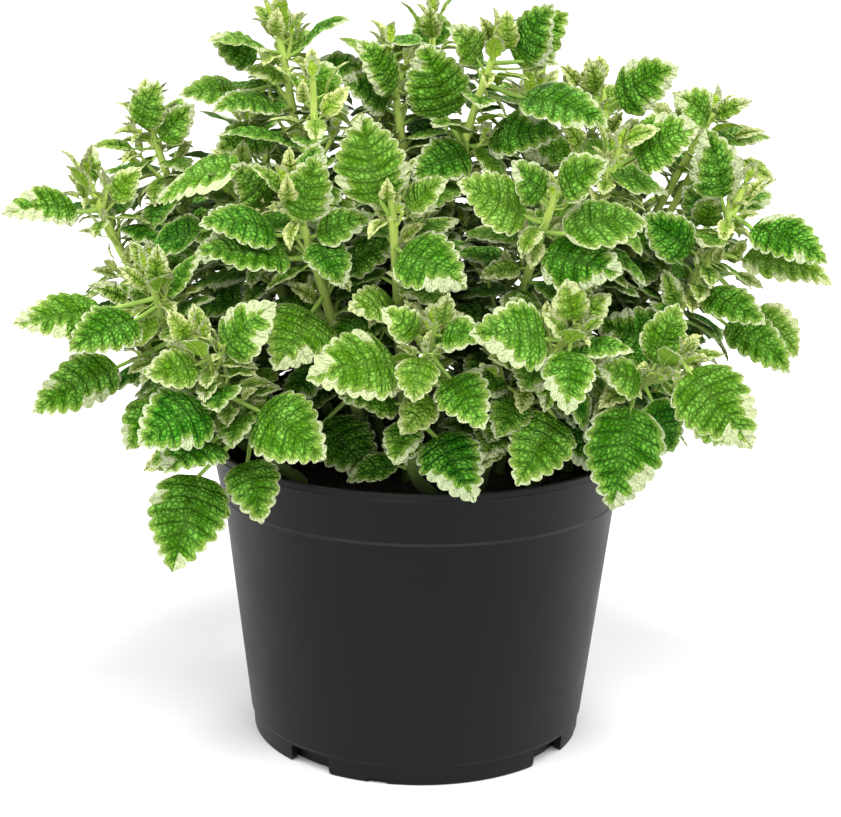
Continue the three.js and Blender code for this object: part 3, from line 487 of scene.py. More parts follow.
class Plant:
    """All the stems, and the leaves that have found room so far."""

    def __init__(self, stems):
        self.stems = stems
        self.leaves = []
        self.centres = np.zeros((MOST_LEAVES, 3))
        self.reaches = np.zeros(MOST_LEAVES)
        self.note_stems()

    def note_stems(self):
        self.course = np.vstack([s.course for s in self.stems])
        self.course_radius = np.concatenate([s.course_radius for s in self.stems])
        self.course_stem = np.concatenate([np.full(len(s.course), i) for i, s in enumerate(self.stems)])

    def add(self, leaf):
        if leaf is not None:
            self.centres[len(self.leaves)] = leaf.centre
            self.reaches[len(self.leaves)] = leaf.reach
            self.leaves.append(leaf)
            leaf.stem.leaves.append(leaf)

    def hits_stem(self, leaf):
        away = self.course - leaf.centre
        near = (away * away).sum(axis=1) <= (leaf.reach + 12) ** 2
        near &= self.course_stem != self.stems.index(leaf.stem)
        if not near.any():
            return False
        places, radius = self.course[near], self.course_radius[near]
        if near_blade(places, leaf, radius):
            return True
        if not len(leaf.stalk):
            return False
        gaps = np.linalg.norm(leaf.stalk[:, None] - places[None], axis=2)
        return bool((gaps < radius + CLEAR["stalks"]).any())

    def is_free(self, leaf):
        if hits_pot(leaf.samples) or (len(leaf.stalk) and hits_pot(leaf.stalk)):
            return False
        count = len(self.leaves)
        away = self.centres[:count] - leaf.centre
        near = (away * away).sum(axis=1) <= (self.reaches[:count] + leaf.reach) ** 2
        if any(leaves_touch(leaf, self.leaves[i]) for i in np.nonzero(near)[0]):
            return False
        return not self.hits_stem(leaf)


def curve_points(start, bend, tip, steps):
    share = np.linspace(0, 1, steps + 1)[:, None]
    start, bend, tip = (np.array(p, float) for p in (start, bend, tip))
    return (1 - share) ** 2 * start + 2 * (1 - share) * share * bend + share**2 * tip


def plant_stems(dice):
    stems = []
    for name, (foot, bend, tip, listed) in STEMS.items():
        lean = math.atan2(tip[1] - foot[1], tip[0] - foot[0])
        turn = lean + math.pi * dice()
        side = np.array((-math.sin(turn), math.cos(turn), 0.0))
        points = curve_points((*foot, SOIL_TOP + STEM_ABOVE), bend, tip, STEM_STEPS)
        stems.append(Stem(name, points, side, (STEM_TIP_RADIUS, STEM_FOOT_RADIUS), listed))
    return stems


def listed_leaf(plant, stem, at, base, tip, face):
    """A leaf seen from the front, moved in depth or turned until it is clear."""
    place, _ = stem.at(at)
    for turn in TURNS:
        facing = between(UP, FRONT, face + turn)
        for nudge in NUDGES:
            start = np.array((base[0], base[1] + nudge * 0.5, base[2]))
            end = np.array((tip[0], float(tip[1] + nudge), tip[2]))
            leaf = Leaf(stem, place, start, end, facing)
            if plant.is_free(leaf):
                return leaf
    return None


def sideways(stem, along, azimuth):
    """The direction square to a stem, at an azimuth about it in degrees."""
    zero = squared(stem.side, along)
    return between(zero, np.cross(along, zero), azimuth)


def grown_leaf(plant, stem, at, azimuth, opening, length, tries=TRIES, allowed=None):
    """A leaf that opens from the stem at an azimuth about it, changed until it is clear."""
    place, along = stem.at(at)
    for more_open, more_azimuth, roll, share in tries:
        outward = sideways(stem, along, azimuth + more_azimuth)
        size = length * share
        flare = YOUNG_FLARE if size < YOUNG_BELOW else STALK_FLARE
        stalk = between(along, outward, opening + more_open + flare)
        reach = between(along, outward, opening + more_open)
        reach[2] -= DROOP * max(opening - 30, 0)
        reach = unit(reach)
        base = place + stalk * max(STALK_LENGTH * size, STALK_SHORTEST)
        facing = turned(along * 0.8 + UP * 0.5, reach, roll)
        leaf = Leaf(stem, place, base, base + reach * size, facing)
        if (allowed is None or allowed(leaf)) and plant.is_free(leaf):
            return leaf
    return None


def has_room(stem, rank, azimuth):
    place, along = stem.at(PAIRS[rank][0])
    direction = sideways(stem, along, azimuth)
    outwards = (direction[0] * place[0] + direction[1] * place[1]) / math.hypot(place[0], place[1])
    if rank > 2 and outwards < INWARD:
        return False
    return not stem.listed or rank < 2 or direction[1] > BACKWARD


def grow_plant():
    dice = Dice(GROWTH_SEED)
    plant = Plant(plant_stems(dice))
    for stem in plant.stems:
        for row in stem.listed:
            leaf = listed_leaf(plant, stem, *row)
            if leaf:
                leaf.shown = True
            plant.add(leaf)
    for rank, (at, length, opening) in enumerate(PAIRS):
        for stem in plant.stems:
            for half in (0, 180):
                azimuth = 45 + 90 * rank + half + 24 * (dice() - 0.5)
                size = length * (0.9 + 0.2 * dice())
                angle = opening + 10 * (dice() - 0.5)
                shoot = dice() < SHOOT_CHANCE
                if at > stem.length - LOWEST_PAIR or not has_room(stem, rank, azimuth):
                    continue
                plant.add(grown_leaf(plant, stem, at, azimuth, angle, size))
                if shoot and 2 < rank < 6:
                    plant.add(grown_leaf(plant, stem, at - 1.5, azimuth + 12, SHOOT_OPEN, SHOOT_LENGTH))
    return plant


# ---------------------------------------------------------------- more growth, to fill the plant

FILL_CLEAR = {"across": 0.2, "above": 0.9, "stalks": 1.2, "stalk_to_blade": 0.1, "pot": 1.2}
FILL_TRIES = [(0, 0, 0, 1), (13, 0, 0, 0.95), (-13, 0, 0, 0.95), (0, 20, 0, 0.9), (0, -20, 0, 0.9),
              (14, 22, 0, 0.75), (-14, -22, 0, 0.75), (0, 0, 0, 0.6)]
TWIG_PAIRS = [(1.0, 0.42, 22), (4.5, 0.62, 40), (10.0, 0.85, 58)]  # from the tip, share of size, opening
TWIG_RADII = (0.6, 0.95)
BUD_PAIRS = [(0.2, 5.5, 12), (0.8, 7.0, 28), (1.9, 8.5, 46)]  # from the tip, blade length, opening
INNER_PAIRS = [(11, 13), (22.5, 22), (36.5, 25), (52, 27), (68, 28), (85, 26), (96, 22),
               (16, 15), (29, 20), (44, 22), (60, 22), (77, 20)]  # from the tip, blade length
SMALLEST_LEAF = 3.6
RIM_CLEAR_DEPTH, RIM_CLEAR_HEIGHT = -38.0, 118.0  # no filling in front of the rim, below this height


def to_picture(points):
    """Where points lie in the photograph's view, and how far in front of the eye they are."""
    pitch, roll = math.radians(PITCH), math.radians(ROLL)
    away = np.atleast_2d(points) - np.array(EYE)
    depth = math.cos(pitch) * away[:, 1] - math.sin(pitch) * away[:, 2]
    rise = math.sin(pitch) * away[:, 1] + math.cos(pitch) * away[:, 2]
    u = FOCAL_PIXELS * away[:, 0] / depth
    v = -FOCAL_PIXELS * rise / depth
    x = PICTURE[0] / 2 + math.cos(roll) * u - math.sin(roll) * v
    y = PICTURE[1] / 2 + math.sin(roll) * u + math.cos(roll) * v
    return np.column_stack([x, y]), depth


def inside_outline(spots, outline):
    """Which of the spots in the picture lie inside a closed line, by counting the sides they cross."""
    start, end = outline, np.roll(outline, -1, axis=0)
    x, y = spots[:, :1], spots[:, 1:]
    crosses = (start[:, 1] > y) != (end[:, 1] > y)
    run = np.where(end[:, 1] == start[:, 1], 1.0, end[:, 1] - start[:, 1])
    at = start[:, 0] + (y - start[:, 1]) * (end[:, 0] - start[:, 0]) / run
    return (crosses & (x < at)).sum(axis=1) % 2 == 1


class ShownLeaves:
    """The leaves read from the photograph, as ovals in its view, kept free of what would hide them."""

    def __init__(self, leaves):
        self.outline = to_picture(np.array([(x, 0, z) for x, z in FRONT_OUTLINE]))[0]
        self.middles, self.axes, self.depths = [], [], []
        for leaf in leaves:
            ends, depth = to_picture(np.array([leaf.base, leaf.tip]))
            side = leaf.across * leaf.half_width * 0.9
            sides, _ = to_picture(np.array([leaf.centre - side, leaf.centre + side]))
            half_long, half_wide = (ends[1] - ends[0]) / 2, (sides[1] - sides[0]) / 2
            self.middles.append((ends[0] + ends[1]) / 2)
            oval = np.column_stack([half_long, half_wide])
            if abs(np.linalg.det(oval)) < 4:
                oval = oval + np.eye(2) * 2
            self.axes.append(np.linalg.inv(oval))
            self.depths.append(depth.mean())
        self.middles, self.axes = np.array(self.middles), np.array(self.axes)
        self.depths = np.array(self.depths)

    def hidden_by(self, points):
        spots, depth = to_picture(points)
        away = spots[:, None] - self.middles[None]
        local = np.einsum("nij,mnj->mni", self.axes, away)
        inside = (local * local).sum(axis=2) < 0.95
        nearer = depth[:, None] < self.depths[None] + 1.0
        return bool((inside & nearer).any())

    def open_to_view(self, points):
        """Whether points hide none of the leaves, keep to the outline and leave the pot's front rim bare."""
        at_rim = (points[:, 1] < RIM_CLEAR_DEPTH) & (points[:, 2] < RIM_CLEAR_HEIGHT)
        if at_rim.any() or not inside_outline(to_picture(points[1:])[0], self.outline).all():
            return False
        return not self.hidden_by(points)


def fill_leaf(plant, shown, stem, at, azimuth, opening, size):
    if size < SMALLEST_LEAF:
        return

    def open_to_view(tried):
        return shown.open_to_view(tried.samples)

    leaf = grown_leaf(plant, stem, at, azimuth, opening, size, FILL_TRIES, open_to_view)
    if leaf:
        leaf.filler = True
        plant.add(leaf)


def grow_twig(plant, shown, stem, at, azimuth, length, dice):
    """A small side shoot from a leaf axil, with its own pairs of small leaves."""
    place, along = stem.at(at)
    outward = sideways(stem, along, azimuth)
    bend = place + between(along, outward, 48) * length * 0.55
    tip = bend + unit(between(along, outward, 30) + UP * 0.6) * length * 0.6
    points = curve_points(place, bend, tip, 4)
    twig = Stem(stem.name, points, squared(UP * 0.2 + outward, unit(tip - bend)), TWIG_RADII)
    if hits_pot(points[1:]) or not shown.open_to_view(points[1:]):
        return
    away = plant.centres[: len(plant.leaves)] - tip
    near = np.nonzero((away * away).sum(axis=1) < (plant.reaches[: len(plant.leaves)] + length) ** 2)[0]
    others = [plant.leaves[i] for i in near if plant.leaves[i].stem is not stem]
    if any(near_blade(twig.course[:-2], leaf, 0.4) for leaf in others):
        return
    stem.children.append(twig)
    plant.stems.append(twig)
    plant.note_stems()
    for rank, (from_tip, share, opening) in enumerate(TWIG_PAIRS):
        if from_tip > length - 2.0:
            break
        for half in (0, 180):
            turn = 90 * rank + half + dice.between(-15, 15)
            size = (7 + 0.55 * length) * share * dice.between(0.85, 1.15)
            fill_leaf(plant, shown, twig, from_tip, turn, opening + dice.between(-6, 6), size)


def fill_plant(plant):
    """Side shoots, inner leaves and tip buds, which fill the plant without hiding its front leaves."""
    dice = Dice(FILL_SEED)
    CLEAR.update(FILL_CLEAR)
    stems = list(plant.stems)
    for stem in stems:
        for row in MORE_LEAVES.get(stem.name, ()):
            leaf = listed_leaf(plant, stem, *row)
            if leaf:
                leaf.shown = True
                plant.add(leaf)
    shown = ShownLeaves([leaf for leaf in plant.leaves if leaf.shown])
    for row, (at, length) in enumerate(INNER_PAIRS):
        for stem in stems:
            for quarter in (0, 90, 180, 270):
                azimuth = 45 + 90 * row + quarter + dice.between(-20, 20)
                size = length * dice.between(0.75, 1.05)
                opening = dice.between(55, 88)
                if at < stem.length - 9:
                    fill_leaf(plant, shown, stem, at, azimuth, opening, size)
    for rank in range(2, len(PAIRS)):
        at = PAIRS[rank][0]
        for stem in stems:
            for half in (0, 180):
                azimuth = 45 + 90 * rank + half + dice.between(-18, 18)
                length = min(7 + 0.16 * at, 17) * dice.between(0.8, 1.2)
                if at < stem.length - 14 and dice() < 0.8:
                    grow_twig(plant, shown, stem, at - 1.0, azimuth, length, dice)
    for stem in list(plant.stems):
        pairs = BUD_PAIRS if stem in stems else BUD_PAIRS[:2]
        for rank, (at, length, opening) in enumerate(pairs):
            for half in (0, 180):
                azimuth = 90 * rank + half + dice.between(-10, 10)
                fill_leaf(plant, shown, stem, at, azimuth, opening, length * dice.between(0.8, 1.1))


# ---------------------------------------------------------------- meshes of leaves and stems

LEAF_THICKNESS, SHARP_ANGLE = 0.32, 70
VEIN_SPACING = 3.9  # between side veins, in millimetres
FEWEST_VEINS, MOST_VEINS = 3, 8
VEIN_SLANT = 0.13  # how far forward a side vein runs, as a share of the blade
TIP_BLUNTNESS, WIDEST = 0.88, 0.4051  # the outline's form, and what it reaches at its widest
LOBE = 0.052  # depth of the rounded teeth, as a share of the blade's length
QUILT = 0.03  # height of the puffs between side veins, as a share of the length
GROOVE = 0.016  # depth of the midrib's groove
SIDE_SLIMNESS, SIDES_FROM, SIDES_SPAN = 0.2, 92.0, 25.0  # blades at the plant's two sides are narrower
COARSE_BELOW, FOLDED_BELOW, LARGE_FROM = 8.0, 11.0, 12.0  # blade lengths
STEM_FINENESS, STEM_SQUARENESS = 0.86, 0.12
KNOT_SWELL, KNOT_LENGTH = 0.14, 1.8  # where pairs of leaves are rooted
DOWN_ON_STEM, DOWN_ON_TWIG = 2.6, 1.4  # hairs to the millimetre

# Rows from one side vein to the next, and columns of the upper and the under face.
FINE_ROWS, PLAIN_ROWS = (0.0, 0.22, 0.4, 0.5, 0.6, 0.78), (0.24, 0.5, 0.76)
FINE_COLUMNS = (-1.0, -0.86, -0.62, -0.34, -0.1, 0.0, 0.1, 0.34, 0.62, 0.86, 1.0)
PLAIN_COLUMNS = (-1.0, -0.75, -0.4, -0.12, 0.0, 0.12, 0.4, 0.75, 1.0)
SMALL_COLUMNS = (-1.0, -0.5, 0.0, 0.5, 1.0)
FINE_UNDER, PLAIN_UNDER = (-1.0, -0.45, 0.0, 0.45, 1.0), (-1.0, 0.0, 1.0)
UPPER_SIDE, UNDER_SIDE, STALK_SKIN, STEM_SKIN, DOWN = range(5)

PLANT_MIDDLE, PLANT_REACH = (0.0, 0.0, 112.0), (128.0, 100.0, 142.0)


def in_scene(name, data):
    made = bpy.data.objects.new(name, data)
    bpy.context.scene.collection.objects.link(made)
    return made


class Weave:
    """Collects points, faces and what the finishes need to know of each point."""

    def __init__(self):
        self.points, self.faces, self.finishes = [], [], []
        self.blade, self.tone, self.net = [], [], []
        self.count = 0

    def add(self, points, faces, finish, blade=(0, 0, -9), tone=(0.5, 0.5, 9), net=(0, 0)):
        points = np.asarray(points, float)
        size = len(points)
        self.points.append(points)
        self.faces.extend(tuple(self.count + i for i in face) for face in faces)
        self.finishes.extend([finish] * len(faces) if isinstance(finish, int) else finish)
        self.blade.append(np.broadcast_to(blade, (size, 3)))
        self.tone.append(np.broadcast_to(tone, (size, 3)))
        self.net.append(np.broadcast_to(net, (size, 2)))
        self.count += size

    def mesh(self, name):
        data = bpy.data.meshes.new(name)
        data.from_pydata(np.vstack(self.points) * MM, [], self.faces)
        data.polygons.foreach_set("material_index", self.finishes)
        for label, values in (("blade", self.blade), ("tone", self.tone)):
            layer = data.attributes.new(label, "FLOAT_VECTOR", "POINT")
            layer.data.foreach_set("vector", np.vstack(values).astype(np.float32).ravel())
        corner_points = np.empty(len(data.loops), np.int32)
        data.loops.foreach_get("vertex_index", corner_points)
        layer = data.uv_layers.new(name="net")
        layer.data.foreach_set("uv", np.vstack(self.net)[corner_points].astype(np.float32).ravel())
        data.polygons.foreach_set("use_smooth", [True] * len(data.polygons))
        data.set_sharp_from_angle(angle=math.radians(SHARP_ANGLE))
        data.update()
        return in_scene(name, data)


def cream_reaches(leaf, lobes, dice):
    """How far the cream runs in from the margin at each lobe of one side, in millimetres."""
    amount = leaf.cream
    reaches, before = [], dice() < 0.3
    for k in range(lobes + 1):
        chance = amount * (0.45 + 0.55 * k / lobes) + (0.15 if before else -0.1)
        before = dice() < chance
        thin = dice.between(0.15, 1.05) + (0.35 if leaf.length < LARGE_FROM else 0.0)
        depth = dice.between(0.04, 0.15) * leaf.length * (0.7 + 0.6 * amount)
        reaches.append(min(max(depth, 1.2), 4.6) if before else thin)
    return reaches


class BladeShape:
    """The form of one blade: its veins, its rounded teeth, its puffs, its bends and its cream."""

    def __init__(self, leaf, dice):
        self.leaf = leaf
        length = leaf.length
        self.veins = int(min(max(round(length / VEIN_SPACING), FEWEST_VEINS), MOST_VEINS))
        if leaf.shown and not leaf.young:
            self.columns, self.under, rows = FINE_COLUMNS, FINE_UNDER, FINE_ROWS
        elif length > COARSE_BELOW:
            self.columns, self.under, rows = PLAIN_COLUMNS, PLAIN_UNDER, PLAIN_ROWS
        else:
            self.columns, self.under, rows = SMALL_COLUMNS, PLAIN_UNDER, PLAIN_ROWS
        self.phases = [k + step for k in range(self.veins) for step in rows if k + step > 0]
        self.lobe_size = [[dice.between(0.7, 1.25) for _ in range(self.veins + 2)] for _ in (0, 1)]
        self.puff_size = [[dice.between(0.55, 1.3) for _ in range(self.veins + 1)] for _ in (0, 1)]
        self.cream = [cream_reaches(leaf, self.veins, dice) for _ in (0, 1)]
        self.arch = BLADE_ARCH * dice.between(0.5, 1.6)
        folded = length < FOLDED_BELOW
        self.hook = dice.between(0.02, 0.16) if folded else dice.between(-0.01, 0.09)
        self.fold = leaf.cup + (dice.between(0.1, 0.6) if folded else dice.between(-0.05, 0.12))
        self.curl = dice.between(0.05, 0.3)
        self.wave = [(dice.between(0.008, 0.035), dice.between(0, 2 * math.pi), dice.between(1.2, 2.2))
                     for _ in (0, 1)]
        self.sway = dice.between(-0.04, 0.04)
        aside = min(max((abs(leaf.centre[0]) - SIDES_FROM) / SIDES_SPAN, 0.0), 1.0)
        self.half_width = leaf.half_width * (1 - SIDE_SLIMNESS * aside)

    def row(self, phase, columns):
        """A row of the upper face: millimetres along, across and above, the margin and the cream's depth."""
        leaf, length = self.leaf, self.leaf.length
        middle = phase / self.veins
        edge = middle + VEIN_SLANT * 4 * middle * (1 - middle)
        out = np.abs(columns)
        right = columns > 0
        share = middle + (edge - middle) * out
        lobe, between_veins = int(phase + 0.5), int(phase)
        crest = 1 - (2 * abs(phase - lobe)) ** 2.4
        fade = min(1.0, 5 * edge) * min(1.0, 9 * (1 - edge))
        outline = math.sqrt(max(edge, 0)) * max(1 - edge, 0) ** TIP_BLUNTNESS / WIDEST
        width = self.half_width * outline
        lobe_size = np.where(right, self.lobe_size[1][lobe], self.lobe_size[0][lobe])
        tooth = LOBE * length * fade * (crest - 0.62) * lobe_size
        across = np.sign(columns) * np.maximum(out * width + tooth * out**3, 0.0)
        along = share * length + 0.014 * length * crest * out**3 * fade
        margin = (1 - out) * np.maximum(width + tooth, 0.0)

        puff = math.sin(math.pi * phase) ** 2
        puff_size = np.where(right, self.puff_size[1][between_veins], self.puff_size[0][between_veins])
        swell = np.clip(out / 0.22, 0, 1) * np.clip((1.08 - out) / 0.3, 0, 1)
        height = 4 * self.arch * length * share * (1 - share)
        height = height + self.fold * width * out - self.curl * width * out**2.5 * 0.6
        flatter_ends = min(1.0, 4 * middle) * min(1.0, 6 * (1 - middle))
        height = height + QUILT * length * puff * puff_size * swell * flatter_ends
        height = height - GROOVE * length * np.exp(-((out / 0.1) ** 2)) * (1 - middle)
        height = height - self.hook * length * np.clip((share - 0.55) / 0.45, 0, 1) ** 2
        for which in (0, 1):
            size, turn, rate = self.wave[which]
            ripple = np.sin(2 * math.pi * rate * share + turn) * np.sin(math.pi * share)
            bend = size * length * out**2 * ripple
            height = height + np.where(right == bool(which), bend, 0.0)
        across = across + self.sway * length * np.sin(math.pi * share)
        cream = np.where(right, self.cream[1][lobe], self.cream[0][lobe]) - margin
        return along, across, height, margin, cream


def add_blade(weave, leaf, dice, tone):
    """A thin closed blade: the quilted upper face, and a plainer under face on the same rim."""
    shape = BladeShape(leaf, dice)
    upper, under = np.array(shape.columns), np.array(shape.under)
    wide, thin = len(upper), len(under) - 2
    axes = np.array([leaf.along, leaf.across, leaf.normal])
    shift = (dice.between(0, 400), dice.between(0, 400))
    spacing = leaf.length / shape.veins
    points, blade, tones, net = [], [], [], []

    def lay_row(phase, columns, drop):
        along, across, height, margin, cream = shape.row(phase, columns)
        height = height - drop * (1 - np.abs(columns) ** 4)
        points.append(leaf.base + np.column_stack([along, across, height]) @ axes)
        same = np.ones(len(columns))
        blade.append(np.column_stack([columns, same * phase, cream]))
        tones.append(np.column_stack([same * tone[0], same * tone[1], margin]))
        net.append(np.column_stack([across + shift[0], same * (phase * spacing + shift[1])]))

    lay_row(0, np.array([0.0]), 0)
    for phase in shape.phases:
        lay_row(phase, upper, 0)
        lay_row(phase, under[1:-1], LEAF_THICKNESS)
    lay_row(shape.veins, np.array([0.0]), 0)

    span, count = wide + thin, len(shape.phases)
    last = 1 + count * span

    def top(row, column):
        return 1 + row * span + column

    def bottom(row, column):
        if column == 0:
            return top(row, 0)
        if column == thin + 1:
            return top(row, wide - 1)
        return 1 + row * span + wide + column - 1

    faces, finish = [], []
    for column in range(wide - 1):
        faces.append((0, top(0, column), top(0, column + 1)))
        faces.append((top(count - 1, column), last, top(count - 1, column + 1)))
        for row in range(count - 1):
            faces.append((top(row, column), top(row + 1, column),
                          top(row + 1, column + 1), top(row, column + 1)))
    finish += [UPPER_SIDE] * len(faces)
    for column in range(thin + 1):
        faces.append((0, bottom(0, column + 1), bottom(0, column)))
        faces.append((bottom(count - 1, column), bottom(count - 1, column + 1), last))
        for row in range(count - 1):
            faces.append((bottom(row, column), bottom(row, column + 1),
                          bottom(row + 1, column + 1), bottom(row + 1, column)))
    finish += [UNDER_SIDE] * (len(faces) - len(finish))
    weave.add(np.vstack(points), faces, finish, np.vstack(blade), np.vstack(tones), np.vstack(net))
    return shape


def tube(weave, centres, radii, sides, side, finish, tone, square=0.0):
    """A closed round or squarish tube along a line of points."""
    steps = np.gradient(centres, axis=0)
    steps /= np.linalg.norm(steps, axis=1)[:, None]
    turns = 2 * math.pi * np.arange(sides) / sides
    bulge = 1 + square * (np.abs(np.cos(2 * turns)) - 0.5)
    rings = []
    for centre, step, radius in zip(centres, steps, radii):
        across = squared(side, step)
        other = np.cross(step, across)
        ring = np.outer(np.cos(turns) * bulge, across) + np.outer(np.sin(turns) * bulge, other)
        rings.append(centre + ring * radius)
    points = np.vstack(rings + [centres[:1], centres[-1:]])
    count, first, last = len(centres), len(centres) * sides, len(centres) * sides + 1
    faces = []
    for k in range(count - 1):
        for i in range(sides):
            j = (i + 1) % sides
            faces.append((k * sides + i, k * sides + j, (k + 1) * sides + j, (k + 1) * sides + i))
    for i in range(sides):
        j = (i + 1) % sides
        faces.append((first, j, i))
        faces.append((last, (count - 1) * sides + i, (count - 1) * sides + j))
    weave.add(points, faces, finish, tone=tone)


def add_stalk(weave, leaf, shape, tone):
    """The leaf stalk, running on as a rib under the blade."""
    reach = leaf.base - leaf.root
    gap = math.sqrt(reach @ reach)
    bow = leaf.normal * -0.06 * gap
    large = leaf.length > LARGE_FROM
    size = min(max(leaf.length / 26, 0.3), 1.05)
    sink = leaf.normal * (0.6 * size + 0.1)
    end = leaf.base + leaf.along * 0.4 - sink
    stalk = curve_points(leaf.root, (leaf.root + leaf.base) / 2 + bow, end, 4 if large else 2)
    rib, rib_radii = [], []
    for share in (0.14, 0.3, 0.5, 0.7) if large else ():
        along, across, height, _, _ = shape.row(share * shape.veins, np.array([0.0]))
        radius = (0.5 - 0.45 * share) * size
        rib.append(leaf.base + leaf.along * along[0] + leaf.across * across[0]
                   + leaf.normal * (height[0] - LEAF_THICKNESS * 0.7 - radius))
        rib_radii.append(radius)
    centres = np.vstack([stalk] + [rib]) if rib else stalk
    radii = list(np.linspace(0.95, 0.66, len(stalk)) * size) + rib_radii
    tube(weave, centres, radii, 6 if large else 4, leaf.across, STALK_SKIN, (tone[0], tone[1], 9))


def add_stem(weave, stem, bottom, tone):
    """A square stem, a little thicker where its pairs of leaves are rooted."""
    steps = 30 if bottom is not None else 5
    distances = np.linspace(stem.length, 0, steps + 1)
    centres = np.array([stem.at(d)[0] for d in distances])
    for _ in range(2):
        centres[1:-1] = 0.25 * centres[:-2] + 0.5 * centres[1:-1] + 0.25 * centres[2:]
    radii = stem.radius(distances) * STEM_FINENESS
    if bottom is not None:
        knots = np.array([pair[0] for pair in PAIRS])
        swell = np.exp(-((distances[:, None] - knots) / KNOT_LENGTH) ** 2).sum(axis=1)
        radii = radii * (1 + KNOT_SWELL * swell)
        below = centres[0].copy()
        below[2] = bottom
        centres = np.vstack([below, centres])
        radii = np.append(radii[0], radii)
    sides = 12 if bottom is not None else 6
    tube(weave, centres, radii, sides, stem.side, STEM_SKIN, tone, square=STEM_SQUARENESS)
    return centres, radii


def add_down(weave, centres, radii, side, per_mm, dice, tone):
    """Short pale hairs that stand out of a stem."""
    for k in range(1, len(centres) - 1):
        step = centres[k + 1] - centres[k]
        length = math.sqrt(step @ step)
        step = step / length
        across = squared(side, step)
        other = np.cross(step, across)
        for _ in range(int(length * per_mm)):
            turn = dice.between(0, 2 * math.pi)
            out = across * math.cos(turn) + other * math.sin(turn)
            aside = np.cross(step, out)
            root = centres[k] + step * length * dice() + out * radii[k] * 0.9
            lean = out + step * dice.between(-0.5, 0.3) + aside * dice.between(-0.3, 0.3)
            points = [root + step * 0.05, root - step * 0.05 + aside * 0.05,
                      root - step * 0.05 - aside * 0.05, root + lean * dice.between(0.5, 1.0)]
            weave.add(points, [(0, 1, 2), (0, 3, 1), (1, 3, 2), (2, 3, 0)], DOWN, tone=tone)


def openness(place):
    """From 0 deep inside the plant to 1 on its outside."""
    away = (place - np.array(PLANT_MIDDLE)) / np.array(PLANT_REACH)
    share = min(max((math.sqrt(away @ away) - 0.35) / 0.45, 0.0), 1.0)
    return share * share * (3 - 2 * share)


def colour_leaf(leaf, dice):
    """Sets how much of a leaf is cream; gives its painted light and tone (painted shade darkens leaves deep
    in the plant and filler leaves, the dice add random tone), and how young and yellow.
    """
    youth = min(max((18.0 - leaf.length) / 9.0, 0.0), 1.0)
    height = min(max((leaf.centre[2] - 110) / 130, 0.0), 1.0)
    open_air = openness(leaf.centre)
    yellow = 0.95 * youth * (0.6 + 0.4 * height) * (0.3 + 0.7 * open_air) + 0.12 * height
    yellow += dice.between(-0.06, 0.2) + (0.3 if dice() < 0.2 else 0.0)
    leaf.cream = dice.between(0.05, 0.7) * (1.0 if leaf.shown else 0.45 + 0.4 * open_air)
    # Painted shade: the deeper a leaf sits in the plant, the darker its colour, and filler leaves are darker
    # still; the dice add random tone.
    painted_light_and_tone = (0.1 + 0.9 * open_air) * dice.between(0.74, 1.0)
    if leaf.filler and not leaf.young:
        painted_light_and_tone *= 0.8
    painted_light_and_tone = max(painted_light_and_tone, 0.75 * youth * open_air)
    return min(painted_light_and_tone, 1.0), min(max(yellow, 0.0), 1.0)


def leafy_stem_piece(stem, dice):
    weave = Weave()
    plain = (0.5, 0.5, 9)
    centres, radii = add_stem(weave, stem, SOIL_TOP - STEM_DEPTH + 1, plain)
    add_down(weave, centres[1:], radii[1:], stem.side, DOWN_ON_STEM, dice, plain)
    for part in [stem] + stem.children:
        if part is not stem:
            twig_centres, twig_radii = add_stem(weave, part, None, plain)
            add_down(weave, twig_centres, twig_radii, part.side, DOWN_ON_TWIG, dice, plain)
        for leaf in part.leaves:
            tone = colour_leaf(leaf, dice)
            shape = add_blade(weave, leaf, dice, tone)
            add_stalk(weave, leaf, shape, tone)
    return weave.mesh(stem.name + "_stem_with_leaves")


# ---------------------------------------------------------------- finishes

# Greens of an old leaf and of a young one: on the puffs, between them, in the sunken veins with painted
# groove shade, in the midrib, beside the cream, under the leaf and in its veins there; and the creams.
DEEP_GREENS = (0.062, 0.35, 0.008), (0.42, 0.70, 0.03)
LIGHT_GREENS = (0.255, 0.79, 0.075), (0.74, 0.94, 0.24)
GROOVE_SHADE_AND_VEIN_GREENS = (0.006, 0.075, 0.002), (0.26, 0.54, 0.02)
RIB_GREENS = (0.12, 0.36, 0.035), (0.45, 0.60, 0.12)
HALO_GREENS = (0.40, 0.66, 0.10), (0.66, 0.80, 0.20)
UNDER_GREENS = (0.075, 0.23, 0.014), (0.42, 0.62, 0.05)
UNDER_VEINS = (0.20, 0.38, 0.07), (0.20, 0.42, 0.02)
CREAMS = (0.52, 0.60, 0.35), (0.66, 0.72, 0.28)

# Painted highlight lines, lighter plastic colour along the pot's edges: height, reach in millimetres, and
# how light.
PAINTED_HIGHLIGHT_LINES = [(BAND_FOOT + 0.3, 0.75, 0.024), (POT_HEIGHT - LIP_HEIGHT + 0.4, 0.6, 0.014),
                (POT_HEIGHT - 0.1, 0.45, 0.03)]

SKY_BRIGHTEST = (0.03, -0.68, 0.73)
SOFTBOXES = [  # name, place, aim, width and height, power
    ("left_strip", (-1.1, 0.1, 0.5), (0, 0, 0.1), (0.35, 1.1), 5),
    ("right_strip", (1.1, 0.15, 0.5), (0, 0, 0.1), (0.35, 1.1), 6),
    ("back_above", (0.1, 1.2, 1.1), (0, 0, 0.2), (1.2, 0.6), 8),
]


